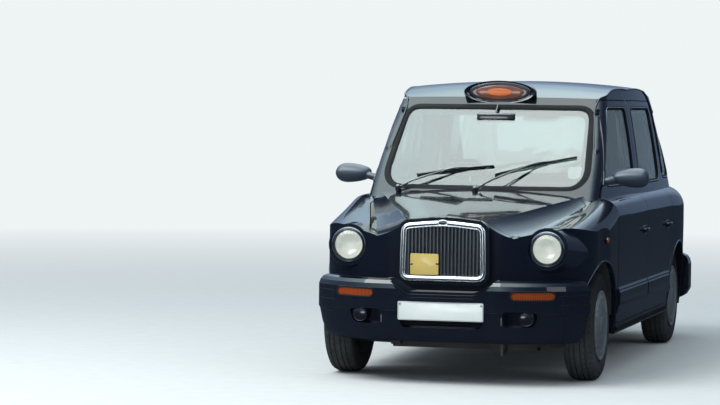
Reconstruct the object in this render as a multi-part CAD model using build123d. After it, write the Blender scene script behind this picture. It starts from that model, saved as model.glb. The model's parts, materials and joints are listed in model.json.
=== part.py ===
"""A purpose-built black taxi cab, in millimetres.

+X is the cab's left side, the front faces -Y, +Z is up. The origin is on the ground under the middle of
the overall box. The driver sits on the right, at -X. One STEP file is written for each named piece.
"""

import math
import os

from build123d import *

# Overall sizes
LENGTH = 4575.0
WIDTH_OVER_MIRRORS = 2036.0
WHEELBASE = 2886.0
FRONT_OVERHANG = 740.0
TRACK = 1490.0
TYRE_RADIUS = 334.5
TYRE_WIDTH = 185.0
RIM_RADIUS = 203.0
STUB_RADIUS = 20.0
SEAT = 0.3

# Panels
GAP = 6.0
WALL = 52.0
PANEL = 28.0
GLASS = 5.0
GLASS_INSET = 9.0

# Heights of the side of the body
SILL_Z = 255.0
SILL_TOP_Z = 371.7
DOOR_BOTTOM_Z = 318.0
FLOOR_Z = 372.0
FLOOR_THICKNESS = 28.0
WINDOW_BOTTOM_Z = 1168.0
WINDOW_TOP_Z = 1662.0
DOOR_TOP_Z = 1706.0
ROOF_SEAM_Z = 1740.0
ROOF_Z = 1834.0

FRONT_Y = -LENGTH / 2
REAR_Y = LENGTH / 2
FRONT_AXLE_Y = FRONT_Y + FRONT_OVERHANG
REAR_AXLE_Y = FRONT_AXLE_Y + WHEELBASE
AXLE_Z = TYRE_RADIUS
ARCH_RADIUS = 388.0
WHEEL_X = TRACK / 2
ARCH_INNER_X = 397.0
REAR_ARCH_INNER_X = 590.0
FRONT_SHUT_Y = -1125.0
B_SHUT_Y = -30.0
REAR_SHUT_Y = 1020.0
BULKHEAD_Y = -1050.0

os.makedirs("parts", exist_ok=True)


def keep(name, *shapes):
    """Write one node, made of one or more solids."""
    solids = [s for shape in shapes for s in shape.solids()]
    part = Compound(children=solids) if len(solids) > 1 else solids[0]
    export_step(part, f"parts/{name}.step")
    return part


def both(shape):
    """The shape and its mirror image on the other side of the cab."""
    return [shape, mirror(shape, about=Plane.YZ)]


def other_side(shape):
    return mirror(shape, about=Plane.YZ)


def block(x0, x1, y0, y1, z0, z1):
    return Pos((x0 + x1) / 2, (y0 + y1) / 2, (z0 + z1) / 2) * Box(x1 - x0, y1 - y0, z1 - z0)


def rod(start, end, radius):
    """A round bar from one point to another."""
    axis = Vector(*end) - Vector(*start)
    return extrude(Plane(origin=start, z_dir=axis) * Circle(radius), axis.length)


def cross_disc(x0, x1, y, z, radius):
    """A disc or drum on an axis across the cab."""
    return rod((x0, y, z), (x1, y, z), radius)


def biggest(shape):
    return max(shape.solids(), key=lambda s: s.volume)


# Outlines in the side view


def grown(points, amount):
    """The corners of a (y, z, radius) outline moved outwards by amount, with its radii to match."""
    count = len(points)
    area = sum(
        points[i][0] * points[(i + 1) % count][1] - points[(i + 1) % count][0] * points[i][1]
        for i in range(count)
    )
    turn = 1 if area > 0 else -1
    moved = []
    for i in range(count):
        before = Vector(*points[i - 1][:2])
        here = Vector(*points[i][:2])
        after = Vector(*points[(i + 1) % count][:2])
        d0 = (here - before).normalized()
        d1 = (after - here).normalized()
        n0 = Vector(d0.Y, -d0.X) * turn
        n1 = Vector(d1.Y, -d1.X) * turn
        cross = d0.X * d1.Y - d0.Y * d1.X
        shift = (n0 + n1) * (amount / (1 + n0.dot(n1)))
        convex = cross * turn > 0
        radius = points[i][2] + (amount if convex else -amount)
        moved.append((here.X + shift.X, here.Y + shift.Y, max(radius, 2.0)))
    return moved


def outline_face(points, plane):
    """A face from (a, b, corner radius) rows on a plane."""
    corners = [(a, b) for a, b, _ in points]
    radii = [r for _, _, r in points]
    wire = FilletPolyline(*corners, radius=radii, close=True)
    return plane * make_face(wire)


# The body's outer and inner surfaces

# Plan outlines of the greenhouse. Columns: height, front glass at the middle, its bow, half width at the
# front, middle and rear, rear bow, rear glass at the middle, corner radius at the front and at the rear.
GREENHOUSE = [
    (980, -1365, 98, 750, 825, 790, 90, 1910, 98, 425),
    (1080, -1275, 95, 742, 812, 778, 90, 1850, 95, 420),
    (1260, -1110, 90, 728, 792, 757, 90, 1740, 90, 410),
    (1440, -930, 85, 710, 768, 735, 85, 1610, 90, 400),
    (1640, -735, 80, 682, 734, 703, 80, 1440, 90, 380),
    (1850, -520, 75, 642, 690, 660, 75, 1230, 90, 360),
]
GREENHOUSE_WIDEST_Y = 200.0

# Cross sections of the roof. Columns: place, height at the middle, half width and drop of the flat crown,
# half width and drop where the edge meets the side.
ROOF = [
    (-1450, 1400, 640, 34, 850, 264),
    (-1000, 1560, 640, 34, 850, 264),
    (-740, 1680, 640, 34, 850, 264),
    (-480, 1790, 640, 34, 850, 264),
    (-100, 1827, 640, 34, 850, 264),
    (350, ROOF_Z, 640, 34, 850, 264),
    (850, 1812, 640, 34, 850, 264),
    (1300, 1722, 610, 34, 830, 264),
    (1700, 1560, 560, 34, 820, 264),
    (2000, 1420, 560, 34, 820, 264),
]

# Cross sections of the cabin below its windows. Columns: place, half width at the sill, at the shoulder and
# its height, half width at the top and its height.
CABIN = [
    (-1138, 850, 866, 985, 758, 1092),
    (-700, 852, 872, 985, 778, 1100),
    (200, 854, 875, 985, 792, 1106),
    (950, 856, 878, 985, 788, 1108),
    (1340, 860, 884, 975, 774, 1108),
    (1700, 836, 862, 955, 730, 1100),
    (1950, 778, 806, 905, 650, 1066),
    (2120, 690, 715, 815, 545, 972),
    (2208, 600, 622, 715, 465, 850),
    (2238, 520, 540, 640, 400, 760),
]

# Cross sections of the bonnet and wings. Columns: place, half width at the bottom, at the side and its
# height, crest, valley and bonnet crease as half width and height, height at the middle.
NOSE = [
    (-2330, 800, 806, 730, 600, 884, 400, 856, 215, 955, 985),
    (-2150, 812, 822, 760, 612, 914, 425, 880, 245, 978, 1008),
    (-1950, 826, 840, 800, 640, 945, 480, 905, 320, 1002, 1042),
    (-1700, 842, 856, 850, 690, 988, 545, 955, 425, 1036, 1078),
    (-1400, 850, 864, 915, 735, 1040, 640, 1020, 555, 1078, 1118),
    (-1138, 850, 866, 985, 758, 1092, 722, 1086, 662, 1112, 1150),
]
BODY_BOTTOM_Z = 240.0


def plan_outline(row, inset):
    z, yf, bow_f, xf, xm, xr, bow_r, yr, rf, rr = row
    yf, yr = yf + inset, yr - inset
    xf, xm, xr = xf - inset, xm - inset, xr - inset
    front = ThreePointArc((-xf, yf + bow_f), (0, yf), (xf, yf + bow_f))
    left = ThreePointArc((xf, yf + bow_f), (xm, GREENHOUSE_WIDEST_Y), (xr, yr - bow_r))
    rear = ThreePointArc((xr, yr - bow_r), (0, yr), (-xr, yr - bow_r))
    right = ThreePointArc((-xr, yr - bow_r), (-xm, GREENHOUSE_WIDEST_Y), (-xf, yf + bow_f))
    face = Plane.XY.offset(z) * make_face([front, left, rear, right])
    front_corners = [v for v in face.vertices() if v.Y < 0]
    face = fillet(front_corners, max(rf - inset, 25))
    rear_corners = [v for v in face.vertices() if v.Y > 0 and abs(abs(v.X) - xr) < 0.01]
    return fillet(rear_corners, max(rr - inset, 80)).face()


def section(y, right_half, bottom):
    """A closed cross section from the edges of its +X half."""
    left_half = [mirror(edge, about=Plane.YZ) for edge in right_half]
    half_width = (right_half[0] @ 0).X
    base = Line((-half_width, bottom), (half_width, bottom))
    face = make_face([base, *right_half, *reversed(left_half)])
    return Plane.XZ.offset(-y) * face


def roof_section(row, inset):
    y, top, x1, drop1, x2, drop2 = row
    top, x2 = top - inset, x2 - inset
    bottom = 300.0
    crown = ThreePointArc((x1, top - drop1), (x1 / 2, top - drop1 / 4), (0, top))
    edge = TangentArc((x1, top - drop1), (x2, top - drop2), tangent=(crown % 0) * -1)
    return section(y, [Line((x2, bottom), edge @ 1), edge, crown], bottom)


def cabin_section(row, inset):
    y, x_sill, x_side, z_side, x_top, z_top = row
    bottom = BODY_BOTTOM_Z
    x_sill, x_side, x_top, z_top = x_sill - inset, x_side - inset, x_top - inset, z_top - inset
    side = ThreePointArc(
        (x_sill, bottom), ((x_sill + x_side) / 2 + 9, (bottom + z_side) / 2), (x_side, z_side)
    )
    shoulder = TangentArc((x_side, z_side), (x_top, z_top), tangent=side % 1)
    top = Line((x_top, z_top), (0, z_top + 4))
    return section(y, [side, shoulder, top], bottom)


def nose_section(row, inset):
    y, x_low, x_side, z_side, x_crest, z_crest, x_valley, z_valley, x_crease, z_crease, z_mid = row
    bottom = BODY_BOTTOM_Z
    x_low, x_side = x_low - inset, x_side - inset
    x_crest = x_crest - inset * 0.4
    z_crest, z_valley, z_crease, z_mid = (z - inset for z in (z_crest, z_valley, z_crease, z_mid))
    side = ThreePointArc((x_low, bottom), ((x_low + x_side) / 2 + 8, (bottom + z_side) / 2), (x_side, z_side))
    crest = TangentArc((x_side, z_side), (x_crest, z_crest), tangent=side % 1)
    inner = arc_by((x_crest, z_crest), (x_valley, z_valley), -0.04)
    rise = arc_by((x_valley, z_valley), (x_crease, z_crease), 0.06)
    crown = arc_by((x_crease, z_crease), (0, z_mid), -0.015)
    return section(y, [side, crest, inner, rise, crown], bottom)


def arc_by(start, end, bulge):
    """An arc whose height is a share of its chord, to the left of the way from start to end."""
    p, q = Vector(*start), Vector(*end)
    along = q - p
    middle = (p + q) * 0.5 + Vector(-along.Y, along.X) * bulge
    return ThreePointArc((p.X, p.Y), (middle.X, middle.Y), (q.X, q.Y))


def evenly(rows, count):
    """Rows at even steps of their first column, on smooth curves through the given rows."""
    slopes = []
    last = len(rows) - 1
    for i in range(last + 1):
        a, b = rows[max(i - 1, 0)], rows[min(i + 1, last)]
        slopes.append([(q - p) / (b[0] - a[0]) for p, q in zip(a, b)])
    result = []
    for step in range(count):
        at = rows[0][0] + (rows[-1][0] - rows[0][0]) * step / (count - 1)
        i = max(k for k in range(last) if rows[k][0] <= at or k == 0)
        span = rows[i + 1][0] - rows[i][0]
        t = (at - rows[i][0]) / span
        h00, h10 = 2 * t**3 - 3 * t**2 + 1, t**3 - 2 * t**2 + t
        h01, h11 = 3 * t**2 - 2 * t**3, t**3 - t**2
        result.append([
            h00 * p + h10 * span * m + h01 * q + h11 * span * n
            for p, m, q, n in zip(rows[i], slopes[i], rows[i + 1], slopes[i + 1])
        ])
    return result


def lofted(rows, maker, inset):
    count = SECTION_COUNTS[maker.__name__]
    return loft([maker(row, inset) for row in evenly(rows, count)])


SECTION_COUNTS = {"plan_outline": 6, "roof_section": 11, "cabin_section": 12, "nose_section": 7}


# Plan of the front end: corner arcs and the straight front between them
NOSE_FRONT_Y = -2180.0
NOSE_BOW = 12.0
NOSE_BACK_Y = -1138.0
NOSE_FLARE = 60.0
NOSE_CORNER_X = 300.0
NOSE_CORNER_Y = -1640.0
LAMP_X = 607.0
LAMP_Y = -2112.0
LAMP_Z = 820.0
LAMP_RADIUS = 110.0
MOULDING_LOW_Z = 385.0
MOULDING_HIGH_Z = 530.0
MOULDING_PROUD = 10.0


def nose_edges(outset, corner_x=NOSE_CORNER_X):
    """The plan of the front end: a bowed front, round corners and nearly straight sides."""
    front = NOSE_FRONT_Y - outset
    radius = NOSE_CORNER_Y - front
    side = corner_x + radius
    diag = radius * math.sqrt(0.5)
    cx, cy = corner_x, NOSE_CORNER_Y
    flare, back, bow = side + NOSE_FLARE, NOSE_BACK_Y, NOSE_BOW
    return [
        ThreePointArc((-cx, front), (0, front - bow), (cx, front)),
        ThreePointArc((cx, front), (cx + diag, cy - diag), (side, cy)),
        Line((side, cy), (flare, back)),
        Line((flare, back), (-flare, back)),
        Line((-flare, back), (-side, cy)),
        ThreePointArc((-side, cy), (-cx - diag, cy - diag), (-cx, front)),
    ]


def nose_plan(outset, z0, z1, corner_x=NOSE_CORNER_X):
    """The plan of the front end as a prism."""
    return extrude(Plane.XY.offset(z0) * make_face(nose_edges(outset, corner_x)), z1 - z0)


def lamp_pod(outset):
    """The wing's round end about a headlamp."""
    front = Plane.XZ.offset(-(LAMP_Y - 8)) * Pos(LAMP_X, LAMP_Z) * Circle(LAMP_RADIUS + 16 + outset)
    back = Plane.XZ.offset(1780) * Pos(LAMP_X + 40, LAMP_Z - 40) * Circle(LAMP_RADIUS + 60 + outset)
    return loft([front.face(), back.face()], ruled=True)


def nose_solid(inset):
    solid = lofted(NOSE, nose_section, inset) & nose_plan(-inset, 200, 1300)
    for pod in both(lamp_pod(-inset)):
        solid = solid + pod
    return solid


def cabin_solid(inset):
    lower = lofted(CABIN, cabin_section, inset)
    if inset > 0:
        lower = lower & block(-1100, 1100, -2000, CABIN[-1][0] - inset, 0, 1300)
    if inset == 0:
        moulding = lofted(CABIN, cabin_section, -MOULDING_PROUD)
        band = block(-990, 990, CABIN[0][0], 960, MOULDING_LOW_Z, MOULDING_HIGH_Z)
        lower = lower + (moulding & band)
    upper = lofted(GREENHOUSE, plan_outline, inset) & lofted(ROOF, roof_section, inset)
    return lower + upper


# Door and window outlines in the side view: y, z, corner radius

FRONT_DOOR = [
    (FRONT_SHUT_Y, DOOR_BOTTOM_Z, 40),
    (B_SHUT_Y, DOOR_BOTTOM_Z, 30),
    (B_SHUT_Y, DOOR_TOP_Z, 40),
    (-608, DOOR_TOP_Z, 70),
    (-1032, 1168, 90),
    (FRONT_SHUT_Y, 1070, 60),
]
REAR_DOOR = [
    (B_SHUT_Y + GAP, DOOR_BOTTOM_Z, 30),
    (900, DOOR_BOTTOM_Z, 60),
    (900, 430, 120),
    (REAR_SHUT_Y, 660, 120),
    (REAR_SHUT_Y, 1060, 60),
    (885, DOOR_TOP_Z, 60),
    (B_SHUT_Y + GAP, DOOR_TOP_Z, 40),
]
FRONT_WINDOW = [
    (-925, WINDOW_BOTTOM_Z, 40),
    (-100, WINDOW_BOTTOM_Z, 35),
    (-100, WINDOW_TOP_Z, 45),
    (-590, WINDOW_TOP_Z, 70),
    (-915, 1265, 70),
]
REAR_WINDOW = [
    (62, WINDOW_BOTTOM_Z, 35),
    (898, WINDOW_BOTTOM_Z, 60),
    (806, WINDOW_TOP_Z, 60),
    (62, WINDOW_TOP_Z, 45),
]
QUARTER_WINDOW = [
    (1085, 1180, 45),
    (1430, 1180, 60),
    (1270, 1635, 70),
    (955, 1635, 45),
]
# Windscreen and rear window in the front view: x, z, corner radius
WINDSCREEN = [(-650, 1158, 100), (650, 1158, 100), (602, 1652, 75), (-602, 1652, 75)]
REAR_SCREEN = [(-530, 1218, 70), (530, 1218, 70), (500, 1606, 80), (-500, 1606, 80)]
BOOT_GAP = 8.0
LID_AXIS_Y = 2090.0
LID_AXIS_Z = 1062.0
HINGE_X = 230.0
HINGE_LEAF = 30.0
HINGE_BARREL = 12.0
BOOT_OPENING = [(-470, 655, 60), (470, 655, 60), (415, 1040, 80), (-415, 1040, 80)]
# Bonnet in plan: x, y, corner radius
BONNET = [
    (-395, -2146, 60),
    (395, -2146, 60),
    (500, -2098, 80),
    (545, -1900, 200),
    (676, -1330, 200),
    (668, -1228, 50),
    (330, -1292, 300),
    (-330, -1292, 300),
    (-668, -1228, 50),
    (-676, -1330, 200),
    (-545, -1900, 200),
    (-500, -2098, 80),
]
BONNET_TAPER = 0.16
SHUT_SLOPE = 0.18
PLUG_INNER_X = 625.0
PLUG_OUTER_X = 960.0
SKIN_X = 875.0


def leaning(points, x, lean_from_y):
    """A door outline at one x, with its rear leaning so that the rear edge clears its pillar."""
    lean = (x - SKIN_X) * SHUT_SLOPE
    return [(y + lean if y >= lean_from_y else y, z, r) for y, z, r in points]


def door_plug(points, grow, lean_from_y):
    """The space that a door fills between the inside and the outside of the body."""
    wider = grown(points, grow)
    inner_x = PLUG_INNER_X - grow
    low = outline_face(leaning(wider, inner_x, lean_from_y), Plane.YZ.offset(inner_x))
    high = outline_face(leaning(wider, PLUG_OUTER_X, lean_from_y), Plane.YZ.offset(PLUG_OUTER_X))
    return loft([low, high], ruled=True)


def along_y(points, y0, y1):
    """A prism along the cab from an outline of x and z."""
    face = outline_face(points, Plane.XZ.offset(-y0))
    return extrude(face, y1 - y0, dir=(0, 1, 0))


def along_x(points, x0, x1):
    """A prism across the cab from an outline of y and z."""
    return extrude(outline_face(points, Plane.YZ.offset(x0)), x1 - x0, dir=(1, 0, 0))


def bonnet_plug(grow):
    low_z, high_z = 820.0, 1220.0
    spread = BONNET_TAPER * (high_z - low_z) / 2
    low = outline_face(grown(BONNET, grow - spread), Plane.XY.offset(low_z))
    high = outline_face(grown(BONNET, grow + spread), Plane.XY.offset(high_z))
    return loft([low, high], ruled=True)


def glass_sheet(depth, thickness):
    """The greenhouse's surface as a thin sheet at a depth below the outer skin."""
    return lofted(GREENHOUSE, plan_outline, depth) - lofted(GREENHOUSE, plan_outline, depth + thickness)


# Shells

FRONT_DOOR_LEAN_Y = -200.0
REAR_DOOR_LEAN_Y = -500.0


def wheel_well(y, inner_x):
    """The space of one wheel arch on the left."""
    return cross_disc(inner_x, 1000, y, AXLE_Z, ARCH_RADIUS)


ROOF_CUT_X = 600.0
HINGE_HEIGHTS = (480.0, 900.0)
HINGE_HEIGHT = 60.0
HEADER_LOW_Z = 1625.0


def pillar_post(inside):
    """The post behind the meeting line of the two left doors, inside a surface."""
    corners = [
        (758, SILL_TOP_Z - 40), (1000, SILL_TOP_Z - 40), (1000, 1765), (640, 1765), (640, 1700),
        (700, 1110), (758, 1040),
    ]
    face = Plane.XZ.offset(-(B_SHUT_Y - 48)) * make_face(Polyline(*corners, close=True))
    return extrude(face, 84, dir=(0, 1, 0)) & inside


def build_shells():
    cabin_out = cabin_solid(0)
    cabin_in = cabin_solid(WALL)
    trim = cabin_solid(WALL + 2 * GAP)
    trim = trim & (Pos(0, 0, -GAP) * trim)
    nose_out = nose_solid(0)
    nose_in = nose_solid(PANEL)
    shell = cabin_out - cabin_in
    half = shell & block(0, 1100, CABIN[0][0] - 300, 2300, SILL_Z, 1900)

    door_front = biggest(half & door_plug(FRONT_DOOR, 0, FRONT_DOOR_LEAN_Y))
    door_rear = biggest(half & door_plug(REAR_DOOR, 0, REAR_DOOR_LEAN_Y))
    door_front = biggest(door_front - along_x(FRONT_WINDOW, 500, 1000))
    door_rear = biggest(door_rear - along_x(REAR_WINDOW, 500, 1000))

    half = half - along_y(WINDSCREEN, -1500, -560)
    half = half - along_y(REAR_SCREEN, 1250, 2000)
    roof = half & (block(-1, 1000, -1400, 2300, ROOF_SEAM_Z, 1900)
                   + block(-1, ROOF_CUT_X, -1400, 2300, HEADER_LOW_Z, ROOF_SEAM_Z))
    scuttle = biggest(half & block(-1, ROOF_CUT_X, -1400, CABIN[0][0] + 60, 1080, HEADER_LOW_Z))
    rear = biggest(half & block(-1, ROOF_CUT_X, 1250, 2400, SILL_Z, HEADER_LOW_Z))
    rear = rear - along_y(grown(BOOT_OPENING, BOOT_GAP), 1700, 2400)
    rear = biggest(rear + hinge_leaf(HINGE_X, HINGE_X + HINGE_LEAF, LID_AXIS_Y - 100,
                                     LID_AXIS_Z - 8, LID_AXIS_Z + 8))
    side = half & block(ROOF_CUT_X, 1100, -1400, 2300, SILL_Z, ROOF_SEAM_Z)
    side = side - door_plug(FRONT_DOOR, GAP, FRONT_DOOR_LEAN_Y)
    side = side - door_plug(REAR_DOOR, GAP, REAR_DOOR_LEAN_Y)
    side = side - wheel_well(REAR_AXLE_Y, REAR_ARCH_INNER_X)
    side = side - along_x(QUARTER_WINDOW, 500, 1000)
    side = side - block(0, 1000, -1500, CABIN[0][0], 0, 1080)
    sill = block(SILL_BOX_X + SEAT, 1000, BULKHEAD_Y + 10, RISER_Y, SILL_Z, SILL_TOP_Z)
    low_sill = block(SILL_BOX_X + SEAT, 1000, BULKHEAD_Y + 10, RISER_Y, SILL_Z, DOOR_BOTTOM_Z - GAP)
    side = side + (sill & trim) + (low_sill & cabin_in) + pillar_post(trim)
    side = side + (pillar_post(cabin_in) & block(0, 1000, -200, 200, DOOR_TOP_Z + GAP, 1765))
    near_door = Pos(-SEAT, 0, 0) * cabin_in
    for z in HINGE_HEIGHTS:
        front_pad = block(835, 858, FRONT_SHUT_Y - GAP - 2, FRONT_SHUT_Y - SEAT, z, z + HINGE_HEIGHT)
        rear_pad = block(780, 1000, B_SHUT_Y - 4, B_SHUT_Y + 22, z, z + HINGE_HEIGHT) & near_door
        side = side + (front_pad & shell) + rear_pad
    side = biggest(side)
    lid = shell & along_y(BOOT_OPENING, 1700, 2400)
    for leaf in both(hinge_leaf(HINGE_X + HINGE_LEAF + SEAT, HINGE_X + 2 * HINGE_LEAF, LID_AXIS_Y - 24,
                                LID_AXIS_Z - 62, LID_AXIS_Z)):
        lid = lid + leaf
    lid = biggest(lid)

    skin = nose_out - nose_in
    bonnet = biggest(skin & bonnet_plug(0))
    front = skin - bonnet_plug(GAP) - cabin_out - block(-1100, 1100, -2400, -1000, 0, SILL_Z)
    for well in both(wheel_well(FRONT_AXLE_Y, ARCH_INNER_X)):
        front = front - well
    for hole in both(lamp_hole()):
        front = front - hole
    for pad in both(block(420, 480, -1400, CABIN[0][0], 1000, 1200)):
        front = front + ((pad & skin & bonnet_plug(GAP + 1)) - bonnet_plug(SEAT))
    front = biggest(front)
    return {
        "cabin_out": cabin_out, "cabin_in": cabin_in, "trim": trim, "nose_out": nose_out,
        "nose_in": nose_in, "side": side, "roof": roof, "scuttle": scuttle, "rear": rear, "lid": lid,
        "door_front": door_front, "door_rear": door_rear, "bonnet": bonnet, "front": front,
    }


def hinge_leaf(x0, x1, y0, z0, z1):
    """One leaf of an outside hinge of the boot lid: an arm and its barrel on the hinge's axis."""
    barrel = cross_disc(x0, x1, LID_AXIS_Y, LID_AXIS_Z, HINGE_BARREL)
    return barrel + block(x0, x1, y0, LID_AXIS_Y + 4, z0, z1)


def whole(half):
    """A half and its mirror image as one solid."""
    return biggest(half + other_side(half))


# Wheels, axles and steering

# Tyre profile on the left of its middle plane: distance from the middle, radius
KINGPIN_X = 690.0
JOINT_HEIGHT = 112.0


def ring_profile(points, x, y):
    """A ring about an axis across the cab from (offset along X, radius) corners."""
    corners = [(x + a, AXLE_Z + r) for a, r in points]
    face = Plane.XZ.offset(-y) * make_face(Polyline(*corners, close=True))
    return revolve(face, Axis((0, y, AXLE_Z), (1, 0, 0)))


def build_tyre(y):
    half = TYRE_WIDTH / 2
    points = [
        (-half * 0.86, RIM_RADIUS), (-half * 0.86, RIM_RADIUS + 13), (-half, RIM_RADIUS + 42),
        (-half, RIM_RADIUS + 78),
        (-half * 0.86, TYRE_RADIUS - 14), (-half * 0.55, TYRE_RADIUS), (half * 0.55, TYRE_RADIUS),
        (half * 0.86, TYRE_RADIUS - 14), (half, RIM_RADIUS + 78), (half, RIM_RADIUS + 42),
        (half * 0.86, RIM_RADIUS + 13), (half * 0.86, RIM_RADIUS),
    ]
    return ring_profile(points, WHEEL_X, y)


def build_wheel(y):
    half = TYRE_WIDTH / 2 * 0.86
    rim = RIM_RADIUS - SEAT
    lip = RIM_RADIUS + 12
    points = [
        (-half - 6, rim - 16), (-half - 6, lip), (-half - SEAT, lip), (-half - SEAT, rim),
        (half + SEAT, rim), (half + SEAT, lip), (half + 6, lip), (half + 4, rim - 14),
        (half - 16, rim - 40), (half - 8, rim - 110), (half - 10, STUB_RADIUS + SEAT),
        (-8, STUB_RADIUS + SEAT), (-8, 78), (half - 30, 92), (half - 34, rim - 40), (0, rim - 16),
    ]
    return ring_profile(points, WHEEL_X, y)


def build_knuckle():
    """The left upright with its stub axle."""
    y, z = FRONT_AXLE_Y, AXLE_Z
    face_x = WHEEL_X - 8 - SEAT
    post = rod((KINGPIN_X, y, z - JOINT_HEIGHT), (KINGPIN_X, y, z + JOINT_HEIGHT), 22)
    drum = cross_disc(KINGPIN_X - 10, face_x, y, z, 74)
    stub = cross_disc(KINGPIN_X, WHEEL_X + TYRE_WIDTH / 2 - 24, y, z, STUB_RADIUS)
    arm = block(KINGPIN_X - 16, KINGPIN_X + 16, y + 10, y + 150, z - 70, z - 46)
    caliper = block(KINGPIN_X - 24, face_x, y + 40, y + 110, z - 60, z + 60)
    return post + drum + stub + arm + caliper


ARM_THICKNESS = 28.0


def across(side, x0, x1, y0, y1, z0, z1):
    """A block on the left (side 1) or the right (side -1)."""
    return block(min(side * x0, side * x1), max(side * x0, side * x1), y0, y1, z0, z1)


def build_front_suspension():
    """The cross member, the double wishbones and the spring units of both sides."""
    y, z = FRONT_AXLE_Y, AXLE_Z
    clear = SEAT
    beam = block(-455, 455, y - 60, y + 60, 170, RAIL_LOW_Z)
    pieces = [beam]
    for side in (1, -1):
        for height, inner_x, reach in (
            (z - JOINT_HEIGHT - clear - ARM_THICKNESS, 450, 84),
            (z + JOINT_HEIGHT + clear, 450, 80),
        ):
            corners = [
                (side * inner_x, y - reach), (side * inner_x, y + reach),
                (side * (KINGPIN_X + 14), y + 22), (side * (KINGPIN_X + 14), y - 22),
            ]
            plate = Plane.XY.offset(height) * make_face(Polyline(*corners, close=True))
            pieces.append(extrude(plate, ARM_THICKNESS))
        low_root = across(side, 400, 460, y - 90, y + 90, 186, RAIL_LOW_Z)
        tower = across(side, ARCH_INNER_X + SEAT, 455, y - 55, y + 55, 200, z + 230)
        top_root = across(side, ARCH_INNER_X + SEAT, 460, y - 88, y + 88, z + 100, z + 150)
        spring = rod((side * 545, y, z - 130), (side * 505, y, z + 230), 38)
        cap = across(side, 440, 550, y - 48, y + 48, z + 222, z + 240)
        pieces += [low_root, tower, top_root, spring, cap]
    body = pieces[0]
    for piece in pieces[1:]:
        body = body + piece
    return body


def build_rear_axle():
    y, z = REAR_AXLE_Y, AXLE_Z
    face_x = WHEEL_X - 8 - SEAT
    beam = cross_disc(-face_x, face_x, y, z, 38)
    casing = rod((0, y - 72, z), (0, y + 66, z), 118)
    pinion_nose = rod((0, y - 180, z), (0, y - 72, z), 58)
    cover = rod((0, y + 66, z), (0, y + 92, z), 84)
    body = beam + casing + pinion_nose + cover
    for side in (1, -1):
        drum = rod((side * (face_x - 70), y, z), (side * face_x, y, z), 74)
        stub = rod((side * face_x, y, z), (side * (WHEEL_X + TYRE_WIDTH / 2 - 24), y, z), STUB_RADIUS)
        arm = across(side, 458, 502, y - 480, y + 60, z - 65, z - 25)
        perch = across(side, 300, 520, y - 70, y + 70, z - 30, z + 45)
        spring = rod((side * 343, y, z + 40), (side * 343, y, KICK_Z - SEAT), 36)
        body = body + drum + stub + arm + perch + spring
    return body


# Chassis and underside

RAIL_X = 305.0
RAIL_WIDTH = 75.0
RAIL_LOW_Z = 262.0
RAIL_HIGH_Z = FLOOR_Z
KICK_Z = 470.0
BOOT_FLOOR_Z = 585.0


RAIL_FRONT_Y = -2128.0
KICK_START_Y = 860.0
KICK_LENGTH = 140.0
RISER_Y = 846.0
RISER_LOW_Z = RAIL_HIGH_Z - SEAT


SILL_BOX_X = 735.0
EYE_X = 342.0
EYE_Y = -2090.0
EYE_Z = 215.0
EYE_RADIUS = 14.0
EYE_THICKNESS = 16.0


def build_chassis():
    drop_y = REAR_AXLE_Y + 220
    end_y = REAR_Y - 170
    profile = [
        (RAIL_FRONT_Y, RAIL_LOW_Z + 30), (RAIL_FRONT_Y + 280, RAIL_LOW_Z), (KICK_START_Y, RAIL_LOW_Z),
        (KICK_START_Y + KICK_LENGTH, KICK_Z), (drop_y, KICK_Z), (end_y, RAIL_HIGH_Z),
        (end_y, RAIL_HIGH_Z + 100), (drop_y - 20, BOOT_FLOOR_Z), (KICK_START_Y + 160, BOOT_FLOOR_Z),
        (KICK_START_Y + 20, RAIL_HIGH_Z), (RAIL_FRONT_Y, RAIL_HIGH_Z),
    ]
    face = Plane.YZ.offset(RAIL_X) * make_face(Polyline(*profile, close=True))
    rail = extrude(face, RAIL_WIDTH, dir=(1, 0, 0))
    bracket = block(RAIL_X + RAIL_WIDTH, 506, KICK_START_Y - 10, KICK_START_Y + 40,
                    AXLE_Z - 25 + SEAT, RISER_LOW_Z)
    rail = rail + bracket
    body = rail + other_side(rail)
    reach = RAIL_X + 10
    for y in (RAIL_FRONT_Y + 50, -900, -100, 650):
        body = body + block(-reach, reach, y - 40, y + 40, RAIL_LOW_Z + 30, RAIL_HIGH_Z - 10)
    for y in (-900, 650):
        for side in (1, -1):
            body = body + across(side, RAIL_X + RAIL_WIDTH, SILL_BOX_X, y - 45, y + 45, 300, RAIL_HIGH_Z - 12)
    return body + block(-reach, reach, end_y - 60, end_y, RAIL_HIGH_Z + 10, RAIL_HIGH_Z + 90)


def build_tow_eye(chassis):
    """The towing eye on its foot under the left rail."""
    y, z, half = EYE_Y, EYE_Z, EYE_THICKNESS / 2
    eye = block(EYE_X - half, EYE_X + half, y - 34, y + 110, z - 34, RAIL_LOW_Z + 20)
    foot = block(EYE_X - 32, EYE_X + 32, y + 10, y + 110, RAIL_LOW_Z, RAIL_LOW_Z + 30)
    return biggest(eye + foot - cross_disc(EYE_X - 30, EYE_X + 30, y, z, EYE_RADIUS) - chassis)


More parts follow.
